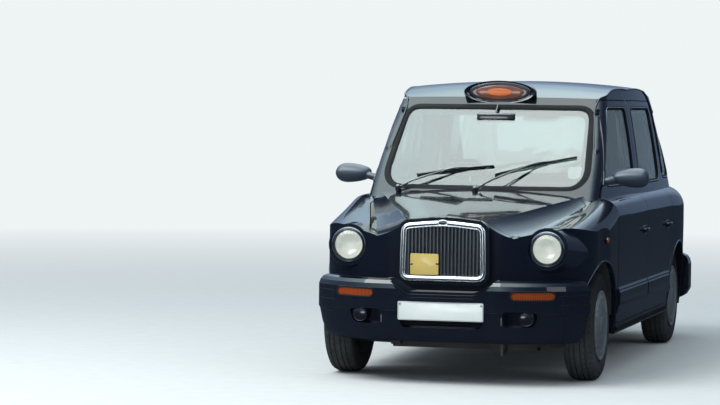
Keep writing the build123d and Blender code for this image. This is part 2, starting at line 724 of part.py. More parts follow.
def build_floor(trim):
    """The cabin floor with its front bulkhead, its step and the boot floor."""
    pan = block(-900, 900, BULKHEAD_Y, RISER_Y + 10, FLOOR_Z, FLOOR_Z + FLOOR_THICKNESS)
    wall = block(-900, 900, BULKHEAD_Y - 20, BULKHEAD_Y + 8, FLOOR_Z, 1079)
    riser = block(-900, 900, RISER_Y, RISER_Y + 24, FLOOR_Z, BOOT_FLOOR_Z + 10)
    rear = block(-900, 900, RISER_Y, REAR_Y, BOOT_FLOOR_Z, BOOT_FLOOR_Z + 24)
    floor = (pan + wall + riser + rear) & trim
    drum_radius = ARCH_RADIUS + TUB_WALL + SEAT
    for y, x in ((REAR_AXLE_Y, REAR_ARCH_INNER_X), (FRONT_AXLE_Y, ARCH_INNER_X)):
        for well in both(cross_disc(x - TUB_WALL - SEAT, 1000, y, AXLE_Z, drum_radius)):
            floor = floor - well
    for post in both(pillar_post(trim)):
        floor = floor - post
    return biggest(floor)


TUB_WALL = 12.0
REAR_TUB_LOW_Z = 425.0


def build_arch_tub(y, inner_x, inside, low_z):
    """A wheel arch liner on the left: a half drum with a flat inner wall."""
    drum = cross_disc(inner_x - TUB_WALL, 1000, y, AXLE_Z, ARCH_RADIUS + TUB_WALL)
    tub = drum - wheel_well(y, inner_x)
    tub = tub & block(0, 1000, y - 600, y + 600, low_z, 1000)
    return biggest(tub & inside)


def build_engine():
    return block(-250, 250, -1830, BULKHEAD_Y - 50, RAIL_LOW_Z + SEAT, 880)


def piped(points, radius):
    """A round pipe through points, with ball elbows."""
    body = rod(points[0], points[1], radius)
    for start, end in zip(points[1:-1], points[2:]):
        body = body + Pos(*start) * Sphere(radius) + rod(start, end, radius)
    return body


def build_exhaust():
    x, low, high = -150.0, 235.0, 540.0
    pipe = piped([(x, -1090, low), (x, 790, low), (x - 60, 1080, high), (x - 60, 1640, high),
                  (x - 90, 2165, 226)], 26)
    silencer = block(x - 110, x + 110, -760, -60, 180, RAIL_LOW_Z + 30 - SEAT)
    box = rod((x - 66, 1760, 472), (x - 79, 2000, 338), 58)
    hanger = block(x - 70, x - 50, 1500, 1530, high, BOOT_FLOOR_Z - SEAT)
    return pipe + silencer + box + hanger


def build_fuel_tank():
    tank = block(-90, RAIL_X - 14, 1560, 2050, 400, BOOT_FLOOR_Z - SEAT)
    return fillet(tank.edges().filter_by(Axis.Z), 50)


# Bumpers, grille and lamps

BUMPER_TOP_Z = 630.0
BUMPER_LOW_Z = 262.0
BUMPER_SIDE_Y = -1950.0
BUMPER_CORNER_X = 284.0
# Cross section of the bumper: height and depth below its foremost line
BUMPER_ROWS = [
    (BUMPER_LOW_Z, 62), (290, 40), (345, 22), (428, 6), (436, 0), (573, 0), (600, 9), (620, 24),
    (BUMPER_TOP_Z, 46),
]
# Steps of the rounded edge of the dip: outwards, deeper, depth behind the foremost line
DIP_DEPTH = 72.0
DIP_STEPS = [(10, 34, 6), (5, 16, 20)]
PLATE_RECESS = 12.0
INTAKE = [(-246, 343, 36), (246, 343, 36), (254, 398, 10), (-254, 398, 10)]
FOG_SCOOP = [(372, 352, 26), (560, 352, 46), (592, 452, 24), (372, 452, 24)]
GRILLE_HALF = 262.0
GRILLE_LOW_Z = 622.0
GRILLE_TOP_Z = 981.0
GRILLE_Y = -2232.0
GRILLE_BORDER = 30.0
GRILLE_ARCH = 24.0
BEZEL_WIDTH = 22.0
BEZEL_Y = -2222.0
BOSS_Z = 968.0
BAR_COUNT = 20


def bumper_shoulder(half_low, half_high, drop):
    """The rounded top edge where the bumper dips below the grille, as the space that it leaves."""
    high = BUMPER_TOP_Z
    return [
        (-half_high, high + 60, 5), (-half_high, high - 2, 60), (-half_low, high - drop, 90),
        (half_low, high - drop, 90), (half_high, high - 2, 60), (half_high, high + 60, 5),
    ]


def build_front_bumper(nose_out):
    outset = NOSE_FRONT_Y - FRONT_Y - NOSE_BOW
    faces = [Plane.XY.offset(z) * make_face(nose_edges(outset - inset, BUMPER_CORNER_X))
             for z, inset in BUMPER_ROWS]
    bar = loft(faces, ruled=True)
    bar = bar & block(-1000, 1000, FRONT_Y - 10, BUMPER_SIDE_Y, 0, 1000)
    for step in DIP_STEPS:
        lip = nose_plan(outset - step[2], 0, 1000, BUMPER_CORNER_X)
        bar = bar - (along_y(bumper_shoulder(205 + step[0], 330 + step[0], DIP_DEPTH + step[1]),
                             FRONT_Y - 50, BUMPER_SIDE_Y) - lip)
    bar = bar - along_y(bumper_shoulder(205, 330, DIP_DEPTH), FRONT_Y - 50, BUMPER_SIDE_Y)
    plate = [(-266, 384, 8), (266, 384, 8), (266, 504, 8), (-266, 504, 8)]
    bar = bar - along_y(plate, FRONT_Y - 50, FRONT_Y + PLATE_RECESS)
    bar = bar - along_y(INTAKE, FRONT_Y - 50, FRONT_Y + 85)
    bar = bar - along_y(grown(INTAKE, 9), FRONT_Y - 50, FRONT_Y + 14)
    for side in (-1, 1):
        scoop = [(side * x, z, r) for x, z, r in FOG_SCOOP]
        deep, wide = Plane.XZ.offset(-(FRONT_Y + 120)), Plane.XZ.offset(-(FRONT_Y - 20))
        narrow = outline_face(grown(scoop, -16), deep)
        bar = bar - loft([narrow, outline_face(grown(scoop, 6), wide)], ruled=True)
    return biggest(bar - nose_out)


REAR_BUMPER_SIDE_X = 894.0
REAR_BUMPER_START_Y = 1752.0
# Cross section of the rear bumper: height and depth below its rearmost line
REAR_BUMPER_ROWS = [(300, 52), (318, 24), (350, 6), (366, 0), (540, 0), (574, 7), (598, 22), (610, 42)]


def rear_bumper_face(z, inset):
    """The plan of the rear bumper at one height: straight sides, round corners, a bowed back."""
    x, y = REAR_BUMPER_SIDE_X - inset, REAR_Y - inset
    side, mid, end = (x, y - 400), (x - 150, y - 140), (x - 420, y - 30)
    edges = [
        Line((-x, REAR_BUMPER_START_Y), (x, REAR_BUMPER_START_Y)),
        Line((x, REAR_BUMPER_START_Y), side),
        ThreePointArc(side, mid, end),
        ThreePointArc(end, (0, y), (-end[0], end[1])),
        ThreePointArc((-end[0], end[1]), (-mid[0], mid[1]), (-side[0], side[1])),
        Line((-side[0], side[1]), (-x, REAR_BUMPER_START_Y)),
    ]
    return Plane.XY.offset(z) * make_face(edges)


def build_rear_bumper(cabin_seat):
    bar = loft([rear_bumper_face(z, inset) for z, inset in REAR_BUMPER_ROWS], ruled=True)
    plate = [(-268, 392, 8), (268, 392, 8), (268, 514, 8), (-268, 514, 8)]
    bar = bar - along_y(plate, REAR_Y - PLATE_RECESS, REAR_Y + 50)
    return biggest(bar - cabin_seat)


def grille_outline(grow):
    half, low, top = GRILLE_HALF, GRILLE_LOW_Z, GRILLE_TOP_Z - GRILLE_ARCH
    rows = [
        (-half, low, 52), (half, low, 52), (half - 8, top, 52), (0, GRILLE_TOP_Z + 4, 1100),
        (-half + 8, top, 52),
    ]
    return grown(rows, grow)


def build_bezel(nose_out):
    """The painted frame round the grille, which stands out from the front panel."""
    ring = along_y(grille_outline(BEZEL_WIDTH), BEZEL_Y, NOSE_FRONT_Y + 20)
    ring = ring - along_y(grille_outline(SEAT), BEZEL_Y - 1, NOSE_FRONT_Y + 30)
    return ring - nose_out


def build_grille():
    """The chrome surround, and the bars with the dark tray behind them."""
    depth_y = NOSE_FRONT_Y - 12.4
    surround = along_y(grille_outline(0), GRILLE_Y, depth_y)
    surround = surround - along_y(grille_outline(-GRILLE_BORDER), GRILLE_Y - 1, depth_y + 1)
    boss = Plane.XZ.offset(-(GRILLE_Y - 7)) * Pos(0, BOSS_Z) * Ellipse(31, 16)
    surround = surround + extrude(boss, 14, dir=(0, 1, 0))
    tray = along_y(grille_outline(-GRILLE_BORDER - SEAT), depth_y - 8, depth_y)
    bars = tray
    inner = GRILLE_HALF - GRILLE_BORDER
    low, top = GRILLE_LOW_Z + GRILLE_BORDER + SEAT, GRILLE_TOP_Z
    for index in range(BAR_COUNT):
        x = -inner + (index + 1) * 2 * inner / (BAR_COUNT + 1)
        bars = bars + block(x - 3, x + 3, GRILLE_Y + 8, depth_y - 7, low + 2, top - 2)
    bars = bars & along_y(grille_outline(-GRILLE_BORDER - SEAT), GRILLE_Y - 5, depth_y)
    return surround, bars


def build_headlamp():
    """The left headlamp unit: a bowl with a domed face."""
    rear = Plane.XZ.offset(-(LAMP_Y + 70)) * Pos(LAMP_X, LAMP_Z) * Circle(60)
    front = Plane.XZ.offset(-LAMP_Y) * Pos(LAMP_X, LAMP_Z) * Circle(LAMP_RADIUS - SEAT)
    bowl = loft([rear.face(), front.face()])
    rim = extrude(front, 12, dir=(0, -1, 0))
    dome = Pos(LAMP_X, LAMP_Y + 150, LAMP_Z) * Sphere(185)
    lens = dome & block(LAMP_X - 96, LAMP_X + 96, LAMP_Y - 60, LAMP_Y - 12, LAMP_Z - 96, LAMP_Z + 96)
    lens = lens & cross_y_disc(LAMP_X, LAMP_Z, LAMP_Y - 60, LAMP_Y, 95)
    return bowl + rim + lens


def cross_y_disc(x, z, y0, y1, radius):
    return rod((x, y0, z), (x, y1, z), radius)


LAMP_HOLE_DEPTH = 80.0


def lamp_hole():
    return cross_y_disc(LAMP_X, LAMP_Z, LAMP_Y - 60, LAMP_Y + LAMP_HOLE_DEPTH, LAMP_RADIUS)


def build_tail_lamp(cabin_out):
    """The left tail lamp, following the rear corner."""
    outer = lofted(CABIN, cabin_section, -9)
    pane = along_y([(585, 690, 30), (720, 690, 30), (690, 925, 30), (575, 925, 30)], 1900, 2400)
    return biggest((outer & pane) - cabin_out)


def indicator_prism(side):
    rows = [(side * 420, 522, 20), (side * 665, 522, 20), (side * 665, 566, 20), (side * 420, 566, 20)]
    return along_y(rows, FRONT_Y - 50, BUMPER_SIDE_Y)


INDICATOR_DEPTH = 22.0


def build_sign(cabin_out):
    """The blank roof sign: an oval housing with a flat face."""
    face = Plane.XZ.offset(690) * Pos(0, 1750) * Ellipse(250, 74)
    housing = extrude(face, 130, dir=(0, 1, 0))
    housing = fillet(housing.edges().group_by(Axis.Y)[-1], 20)
    return biggest(housing - cabin_out)


MIRROR_X = 901.0
MIRROR_Y = -950.0
MIRROR_Z = 1215.0


def build_mirror(cabin_out):
    case = Pos(MIRROR_X, MIRROR_Y, MIRROR_Z) * Box(WIDTH_OVER_MIRRORS - 2 * MIRROR_X, 96, 146)
    case = fillet(case.edges().filter_by(Axis.Y), 62)
    case = fillet(case.edges().group_by(Axis.Y)[0], 40)
    case = fillet(case.edges().group_by(Axis.Y)[-1], 8)
    foot = block(740, 830, -990, -930, 1182, 1228)
    return biggest((case + foot) - cabin_out)


# Inside the cabin

DRIVER_X = -370.0
PARTITION_Y = -46.0
SHELF_Z = 1150.0
BENCH_HALF = 572.0
WHEEL_CENTRE = (DRIVER_X, -655.0, 1020.0)
COLUMN_RISE = 0.5
STEERING_AXIS = Vector(0, 1, COLUMN_RISE).normalized()
STEERING_HUB_END = -8.0 - SEAT


def build_partition(trim):
    top = 1690.0
    plate = block(-900, 900, PARTITION_Y, PARTITION_Y + 22, FLOOR_Z + FLOOR_THICKNESS, top) & trim
    for post in both(pillar_post(trim)):
        plate = plate - post
    opening = along_y([(-600, 1030, 40), (600, 1030, 40), (520, 1610, 40), (-520, 1610, 40)],
                      PARTITION_Y - 10, PARTITION_Y + 40)
    pane = along_y([(-599, 1031, 40), (599, 1031, 40), (519, 1609, 40), (-519, 1609, 40)],
                   PARTITION_Y + 8, PARTITION_Y + 14)
    return biggest(plate - opening), pane


def build_tip_up_seats():
    """The two folded seats on the rear face of the partition."""
    seats = []
    for x in (-300, 300):
        y = PARTITION_Y + 22 + SEAT
        back = block(x - 205, x + 205, y, y + 60, 700, 1020)
        base = block(x - 215, x + 215, y, y + 95, 420, 690)
        seats += [fillet(back.edges().filter_by(Axis.Y), 40), fillet(base.edges().filter_by(Axis.Y), 40)]
    return seats


def build_driver_seat():
    x, floor = DRIVER_X, FLOOR_Z + FLOOR_THICKNESS
    plinth = block(x - 190, x + 190, -590, -210, floor, 540)
    cushion = fillet(block(x - 245, x + 245, -640, -150, 540, 670).edges(), 40)
    back = fillet((Pos(x, -130, 900) * Rot(X=-9) * Box(470, 95, 560)).edges(), 40)
    rest = fillet((Pos(x, -98, 1235) * Rot(X=-9) * Box(260, 75, 150)).edges(), 30)
    stem = Pos(x, -110, 1160) * Rot(X=-9) * Box(120, 16, 60)
    return cushion + back + rest + stem + plinth


def build_rear_bench():
    floor = BOOT_FLOOR_Z + 24
    cushion = fillet(block(-BENCH_HALF, BENCH_HALF, RISER_Y + 14, 1345, floor, 770).edges(), 30)
    back = Pos(0, 1392, 928) * Rot(X=-10) * Box(2 * BENCH_HALF, 110, 400)
    return cushion + fillet(back.edges(), 30)


def build_parcel_shelf(trim):
    floor = BOOT_FLOOR_Z + 24
    wall = block(-BENCH_HALF, BENCH_HALF, 1500, 1518, floor, SHELF_Z)
    shelf = block(-900, 900, 1420, 1720, SHELF_Z, SHELF_Z + 16) & trim
    return wall + shelf


def build_dashboard(trim):
    profile = [
        (BULKHEAD_Y + 8 + SEAT, 820, 10), (-890, 760, 60), (-800, 860, 40), (-800, 1010, 40),
        (-900, 1100, 40), (BULKHEAD_Y + 8 + SEAT, 1110, 10),
    ]
    body = along_x(profile, -735, 735) & trim
    x, y, z = WHEEL_CENTRE
    run = 240.0
    hood = fillet(block(x - 190, x + 190, -900, -790, 1020, 1130).edges().filter_by(Axis.Y), 40)
    top = Vector(x, y, z) + STEERING_AXIS * STEERING_HUB_END
    column = rod((x, y - run, z - run * COLUMN_RISE), (top.X, top.Y, top.Z), 34)
    return biggest(body + hood + column)


def build_steering_wheel():
    x, y, z = WHEEL_CENTRE
    face = Plane(origin=(x, y, z), x_dir=(1, 0, 0), z_dir=(0, 1, COLUMN_RISE))
    rim = Torus(195, 15)
    hub = Pos(0, 0, -2) * Cylinder(48, 40)
    wheel = rim + hub
    for turn in (0, 90, 180):
        wheel = wheel + Rot(Z=-turn) * Pos(118, 0, -2) * Box(160, 34, 14)
    return face * (Pos(0, 0, 14) * wheel)


# All the nodes


def build_all():
    shells = build_shells()
    cabin_out, trim, nose_out = shells["cabin_out"], shells["trim"], shells["nose_out"]

    keep("side_frame_left", shells["side"])
    keep("side_frame_right", other_side(shells["side"]))
    keep("roof_panel", whole(shells["roof"]))
    keep("scuttle", whole(shells["scuttle"]))
    keep("rear_panel", whole(shells["rear"]))
    keep("boot_lid", shells["lid"])
    keep("bonnet", shells["bonnet"])
    keep("front_wings", biggest(shells["front"] + build_bezel(nose_out)))
    for name in ("front", "rear"):
        keep(f"{name}_door_left", shells[f"door_{name}"])
        keep(f"{name}_door_right", other_side(shells[f"door_{name}"]))

    sheet = glass_sheet(GLASS_INSET, GLASS)
    keep("windscreen", biggest(sheet & along_y(grown(WINDSCREEN, -SEAT), -1500, -560)))
    rear_glass = biggest(sheet & along_y(grown(REAR_SCREEN, -SEAT), 1250, 2000))
    quarter = biggest(sheet & along_x(grown(QUARTER_WINDOW, -SEAT), 500, 1000))
    partition, pane = build_partition(trim)
    keep("fixed_glass", rear_glass, *both(quarter), pane)
    for name, rows in (("front", FRONT_WINDOW), ("rear", REAR_WINDOW)):
        pane = biggest(sheet & along_x(grown(rows, -SEAT), 500, 1000))
        keep(f"{name}_door_glass_left", pane)
        keep(f"{name}_door_glass_right", other_side(pane))

    keep("floor_pan", build_floor(trim))
    front_tub = build_arch_tub(FRONT_AXLE_Y, ARCH_INNER_X, shells["nose_in"] - cabin_out, RAIL_HIGH_Z + SEAT)
    rear_tub = build_arch_tub(REAR_AXLE_Y, REAR_ARCH_INNER_X, shells["cabin_in"], REAR_TUB_LOW_Z)
    keep("arch_liners", *both(front_tub), *both(rear_tub))
    chassis = build_chassis()
    keep("chassis_frame", chassis)
    keep("tow_eye", build_tow_eye(chassis))
    keep("engine", build_engine())
    keep("exhaust_system", build_exhaust())
    keep("fuel_tank", build_fuel_tank())
    keep("front_suspension", build_front_suspension())
    keep("rear_axle", build_rear_axle())

    bumper = build_front_bumper(nose_out)
    outset = NOSE_FRONT_Y - FRONT_Y - NOSE_BOW
    core = nose_plan(outset - INDICATOR_DEPTH, 490, 610, BUMPER_CORNER_X)
    lens_band = nose_plan(outset - 3, 500, 600, BUMPER_CORNER_X) - core
    lenses = []
    for side in (1, -1):
        bumper = bumper - (indicator_prism(side) - core)
        lenses.append(biggest(lens_band & indicator_prism(side)))
    keep("front_bumper", biggest(bumper))
    keep("front_indicators", *lenses)
    keep("rear_bumper", build_rear_bumper(cabin_out))
    surround, bars = build_grille()
    keep("grille_surround", surround - nose_out)
    keep("grille_bars", bars)
    keep("headlamps", *both(build_headlamp()))
    keep("tail_lamps", *both(build_tail_lamp(cabin_out)))
    keep("roof_sign", build_sign(cabin_out))
    mirror_left = build_mirror(cabin_out)
    keep("mirror_left", mirror_left)
    keep("mirror_right", other_side(mirror_left))

    keep("partition", partition)
    keep("tip_up_seats", *build_tip_up_seats())
    keep("driver_seat", build_driver_seat())
    keep("rear_bench", build_rear_bench())
    keep("parcel_shelf", build_parcel_shelf(trim))
    keep("dashboard", build_dashboard(trim))
    keep("steering_wheel", build_steering_wheel())

    keep("knuckle_left", build_knuckle())
    keep("knuckle_right", other_side(build_knuckle()))
    for end, y in (("front", FRONT_AXLE_Y), ("rear", REAR_AXLE_Y)):
        tyre, wheel = build_tyre(y), build_wheel(y)
        keep(f"tyre_{end}_left", tyre)
        keep(f"tyre_{end}_right", other_side(tyre))
        keep(f"wheel_{end}_left", wheel)
        keep(f"wheel_{end}_right", other_side(wheel))


build_all()
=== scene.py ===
"""Looks of a black purpose-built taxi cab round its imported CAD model, in metres.

The front faces -Y, +X is the cab's left side, +Z is up. The driver sits at -X.
"""
import json
import math

import bmesh
import bpy
from mathutils import Euler, Matrix, Vector
from mathutils.bvhtree import BVHTree


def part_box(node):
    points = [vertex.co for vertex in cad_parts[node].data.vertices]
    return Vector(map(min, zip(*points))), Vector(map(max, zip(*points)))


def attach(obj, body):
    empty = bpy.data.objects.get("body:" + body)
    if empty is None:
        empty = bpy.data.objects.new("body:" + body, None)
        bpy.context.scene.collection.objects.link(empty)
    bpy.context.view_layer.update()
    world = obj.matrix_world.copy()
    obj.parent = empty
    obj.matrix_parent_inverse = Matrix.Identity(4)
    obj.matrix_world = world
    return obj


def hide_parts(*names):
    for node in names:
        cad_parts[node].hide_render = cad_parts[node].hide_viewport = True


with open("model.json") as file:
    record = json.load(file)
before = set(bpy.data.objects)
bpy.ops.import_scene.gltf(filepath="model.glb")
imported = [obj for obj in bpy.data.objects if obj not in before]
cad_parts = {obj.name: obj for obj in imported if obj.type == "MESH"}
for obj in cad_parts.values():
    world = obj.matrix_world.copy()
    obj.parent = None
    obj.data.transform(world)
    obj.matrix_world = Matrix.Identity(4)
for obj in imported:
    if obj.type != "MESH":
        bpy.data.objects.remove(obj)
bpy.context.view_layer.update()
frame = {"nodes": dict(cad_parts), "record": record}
nodes = frame["nodes"]
scene = bpy.context.scene

# Camera, light and floor

CAMERA_PLACE = (3.753, -18.27, 1.666)
CAMERA_YAW, CAMERA_PITCH, CAMERA_ROLL = (math.radians(angle) for angle in (-14.89, -2.03, 0.70))
PHOTO_WIDTH, FOCAL_PIXELS, SENSOR = 720.0, 2780.9, 36.0
FAR_CLIP = 400
FLOOR_SIZE = 160
PALE = (0.86, 0.90, 0.91)
SKY = [
    (0.0, (0.012, 0.017, 0.028)), (0.5, (0.024, 0.034, 0.052)), (0.54, (0.042, 0.058, 0.085)),
    (0.62, (0.072, 0.10, 0.14)), (0.74, (0.24, 0.32, 0.37)), (0.87, (0.72, 0.90, 0.93)),
    (1.0, (0.92, 1.0, 0.98)),
]
SKY_HAZE = (0.8, 0.88, 0.95)
SKY_REFLECTED, SKY_LIT = 4.6, 0.95
DIM_TO_LEFT, DIM_TO_RIGHT = -0.60, 0.08
LAMPS = (
    ("key", (-4.5, -6.0, 8.5), (0, 0, 0.6), (7.0, 7.0), 900, (1.0, 0.98, 0.95)),
    ("card", (-5.6, -24, 1.7), (0, -2, 1.2), (8.0, 3.0), 300, (0.90, 0.98, 1.0)),
    ("fill", (8.5, -5.0, 6.5), (0, 0, 0.8), (4.0, 4.0), 90, (0.92, 0.97, 1.0)),
)


def set_camera():
    """The camera that fits the photograph, with its turn, tilt and roll."""
    sy, cy = math.sin(CAMERA_YAW), math.cos(CAMERA_YAW)
    sp, cp = math.sin(CAMERA_PITCH), math.cos(CAMERA_PITCH)
    ahead = Vector((sy * cp, cy * cp, sp))
    side = Vector((cy, -sy, 0))
    up = side.cross(ahead)
    cr, sr = math.cos(CAMERA_ROLL), math.sin(CAMERA_ROLL)
    x_axis, y_axis = cr * side + sr * up, cr * up - sr * side
    data = bpy.data.cameras.new("camera")
    data.sensor_width = SENSOR
    data.lens = FOCAL_PIXELS * SENSOR / PHOTO_WIDTH
    data.clip_end = FAR_CLIP
    camera = bpy.data.objects.new("camera", data)
    turn = Matrix((x_axis, y_axis, -ahead)).transposed().to_4x4()
    camera.matrix_world = Matrix.Translation(CAMERA_PLACE) @ turn
    scene.collection.objects.link(camera)
    scene.camera = camera


class Graph:
    """A small helper round a node tree."""

    def __init__(self, tree):
        self.tree = tree

    def add(self, kind, **settings):
        made = self.tree.nodes.new(kind)
        for key, value in settings.items():
            if key in made.inputs:
                made.inputs[key].default_value = value
            else:
                setattr(made, key, value)
        return made

    def link(self, start, end):
        self.tree.links.new(start, end)

    def put(self, value, socket):
        if hasattr(value, "is_output"):
            self.link(value, socket)
        else:
            socket.default_value = value

    def feed(self, node, **values):
        """Links or sets inputs of a node; an underscore stands for the space in an input's name."""
        for key, value in values.items():
            self.put(value, node.inputs[key.replace("_", " ")])

    def math(self, operation, a, b):
        made = self.add("ShaderNodeMath", operation=operation)
        self.put(a, made.inputs[0])
        self.put(b, made.inputs[1])
        return made.outputs[0]

    def times(self, a, b):
        return self.math("MULTIPLY", a, b)

    def mix(self, factor, a, b):
        """A colour between a and b."""
        made = self.add("ShaderNodeMix", data_type="RGBA")
        self.put(factor, made.inputs[0])
        self.put(rgba(a), made.inputs[6])
        self.put(rgba(b), made.inputs[7])
        return made.outputs[2]

    def blend(self, factor, a, b):
        """A number between a and b."""
        made = self.add("ShaderNodeMix", data_type="FLOAT")
        self.put(factor, made.inputs[0])
        self.put(a, made.inputs[2])
        self.put(b, made.inputs[3])
        return made.outputs[0]

    def ramp(self, value, stops):
        made = self.add("ShaderNodeValToRGB")
        elements = made.color_ramp.elements
        while len(elements) < len(stops):
            elements.new(0.5)
        for element, (place, colour) in zip(elements, stops):
            element.position = place
            element.color = rgba(colour)
        self.put(value, made.inputs[0])
        return made.outputs[0]

    def noise(self, scale, detail, place, roughness=0.5):
        made = self.add("ShaderNodeTexNoise", Scale=scale, Detail=detail, Roughness=roughness)
        self.link(place, made.inputs["Vector"])
        return made.outputs["Fac"]

    def wave(self, place, scale, distortion=0.0, direction="X"):
        made = self.add("ShaderNodeTexWave", Scale=scale, Distortion=distortion, bands_direction=direction)
        self.link(place, made.inputs["Vector"])
        return made.outputs["Fac"]

    def place(self):
        """The place on the object, in metres."""
        return self.add("ShaderNodeTexCoord").outputs["Object"]

    def parts(self, vector):
        """The three parts of a vector."""
        made = self.add("ShaderNodeSeparateXYZ")
        self.link(vector, made.inputs[0])
        return made.outputs

    def vector_math(self, operation, a, b=None):
        made = self.add("ShaderNodeVectorMath", operation=operation)
        self.link(a, made.inputs[0])
        if b is not None:
            self.put(b, made.inputs[1])
        return made.outputs

    def mix_shader(self, factor, a, b):
        made = self.add("ShaderNodeMixShader")
        for value, socket in zip((factor, a, b), made.inputs):
            self.link(value, socket)
        return made.outputs[0]

    def background(self, colour, strength):
        made = self.add("ShaderNodeBackground", Strength=strength)
        self.put(rgba(colour), made.inputs["Color"])
        return made.outputs[0]


def rgba(colour):
    """Four parts of a colour or a grey; anything else, such as a socket, stays as it is."""
    if isinstance(colour, (int, float)):
        return (colour, colour, colour, 1.0)
    if isinstance(colour, tuple) and len(colour) == 3:
        return (*colour, 1.0)
    return colour


def set_world():
    """An uneven sky in reflections, a softer one as light, and a plain pale one behind the cab."""
    world = bpy.data.worlds.new("sky")
    world.use_nodes = True
    scene.world = world
    g = Graph(world.node_tree)
    g.tree.nodes.clear()
    out = g.add("ShaderNodeOutputWorld")
    x, _, z = g.parts(g.add("ShaderNodeTexCoord").outputs["Generated"])
    aside = g.math("ADD", g.times(g.math("MAXIMUM", x, 0.0), DIM_TO_LEFT),
                   g.times(g.math("MINIMUM", x, 0.0), DIM_TO_RIGHT))
    height = g.math("ADD", g.times(z, 0.5), g.math("ADD", aside, 0.5))
    sky = g.ramp(height, SKY)
    ray = g.add("ShaderNodeLightPath").outputs
    seen = g.math("MAXIMUM", ray["Is Camera Ray"], ray["Is Transmission Ray"])
    reflected = g.background(sky, SKY_REFLECTED)
    lit = g.background(g.mix(0.55, sky, SKY_HAZE), SKY_LIT)
    unseen = g.mix_shader(ray["Is Glossy Ray"], lit, reflected)
    g.link(g.mix_shader(seen, unseen, g.background(PALE, 1.0)), out.inputs["Surface"])


def add_lamp(name, place, aim, size, power, colour):
    data = bpy.data.lights.new(name, "AREA")
    data.shape = "RECTANGLE"
    data.size, data.size_y = size
    data.energy = power
    data.color = colour
    lamp = bpy.data.objects.new(name, data)
    lamp.location = place
    lamp.rotation_mode = "QUATERNION"
    lamp.rotation_quaternion = (Vector(aim) - Vector(place)).to_track_quat("-Z", "Y")
    scene.collection.objects.link(lamp)


def set_stage():
    """The floor and the lamps."""
    bpy.ops.mesh.primitive_plane_add(size=FLOOR_SIZE, location=(0, 0, 0))
    floor = bpy.context.object
    floor.name = "floor"
    floor.data.materials.append(floor_material())
    for lamp in LAMPS:
        add_lamp(*lamp)


def floor_material():
    """Pale floor that fades into the backdrop and shows darker in reflections, like the street would."""
    made = bpy.data.materials.new("floor")
    made.use_nodes = True
    g = Graph(made.node_tree)
    shader = g.tree.nodes["Principled BSDF"]
    place = g.place()
    ray = g.add("ShaderNodeLightPath").outputs
    pale = g.ramp(g.noise(9.0, 6.0, place), [(0.3, (0.66, 0.70, 0.71)), (0.7, (0.70, 0.735, 0.745))])
    colour = g.mix(ray["Is Glossy Ray"], pale, (0.035, 0.045, 0.06))
    g.feed(shader, Base_Color=colour, Roughness=0.9, Specular_IOR_Level=0.0)
    far = g.vector_math("LENGTH", place)["Value"]
    fade = g.ramp(g.times(far, 1 / 30), [(0.16, 0.0), (0.62, 1.0)])
    glow_node = g.add("ShaderNodeEmission", Color=rgba(PALE))
    faded = g.times(fade, ray["Is Camera Ray"])
    both = g.mix_shader(faded, shader.outputs[0], glow_node.outputs[0])
    g.link(both, g.tree.nodes["Material Output"].inputs["Surface"])
    return made


scene.view_settings.view_transform = "Standard"
set_camera()
set_world()
set_stage()

# Materials

MATERIALS = {}
ROAD_DUST, PAINT_DUST = (0.10, 0.105, 0.11), (0.06, 0.065, 0.075)
PAINT_DARK, PAINT_LIGHT = (0.0042, 0.0062, 0.0125), (0.0058, 0.0085, 0.0165)
DUST_FULL, DUST_GONE = 0.18, 0.62
CABIN_MIDDLE = (0, 0.15, 1.05)


def principled(name):
    """A new material's graph, its shader and the place on the object."""
    made = bpy.data.materials.new(name)
    made.use_nodes = True
    MATERIALS[name] = made
    g = Graph(made.node_tree)
    return g, g.tree.nodes["Principled BSDF"], g.place()


def bump(g, shader, height, strength, distance):
    made = g.add("ShaderNodeBump", Strength=strength, Distance=distance)
    g.feed(made, Height=height)
    g.feed(shader, Normal=made.outputs[0])


def finish_material(name, dark, light, roughness, grain, grain_height, metallic, coat, specular, dirt):
    """A finish with colour variation, uneven roughness, fine relief and road film near the ground."""
    g, shader, place = principled(name)
    spread = min(0.08, roughness / 3)
    cloud = g.noise(3.0, 5.0, place)
    colour = g.mix(g.ramp(cloud, [(0.35, 0.0), (0.65, 1.0)]), dark, light)
    rough = g.blend(g.noise(14.0, 4.0, place), roughness - spread, roughness + spread)
    if dirt:
        film = road_film(g, place, dirt)
        colour = g.mix(film, colour, ROAD_DUST)
        rough = g.blend(film, rough, 0.7)
    bump(g, shader, g.noise(grain, 4.0, place), 0.5, grain_height)
    g.feed(shader, Base_Color=colour, Roughness=rough, Metallic=metallic, Specular_IOR_Level=specular,
           Coat_Weight=coat, Coat_Roughness=0.05)


def road_film(g, place, amount):
    """Dust that thins out with height."""
    low = g.ramp(g.parts(place)[2], [(DUST_FULL, 1.0), (DUST_GONE, 0.0)])
    patch = g.ramp(g.noise(5.0, 8.0, place, 0.65), [(0.32, 0.25), (0.72, 1.0)])
    return g.times(g.times(low, patch), amount)


def paint_material(name, lining=None):
    """Gloss black paint; with a lining, faces that look into the cabin are trim instead."""
    g, shader, place = principled(name)
    colour = g.mix(g.noise(2.0, 4.0, place), PAINT_DARK, PAINT_LIGHT)
    film = road_film(g, place, 0.10)
    colour = g.mix(film, colour, PAINT_DUST)
    rough = g.blend(film, 0.16, 0.55)
    relief, coat = g.noise(260.0, 2.0, place), 1.0
    if lining:
        inside = looks_in(g, place)
        weave = g.noise(900.0, 2.0, place)
        colour = g.mix(inside, colour, g.mix(weave, *lining))
        rough = g.blend(inside, rough, 0.85)
        coat = g.math("SUBTRACT", 1.0, inside)
        relief = g.blend(inside, relief, g.times(weave, 6.0))
    bump(g, shader, relief, 0.25, 0.00006)
    g.feed(shader, Base_Color=colour, Roughness=rough, Coat_Weight=coat, Coat_Roughness=0.025,
           Specular_IOR_Level=0.04)


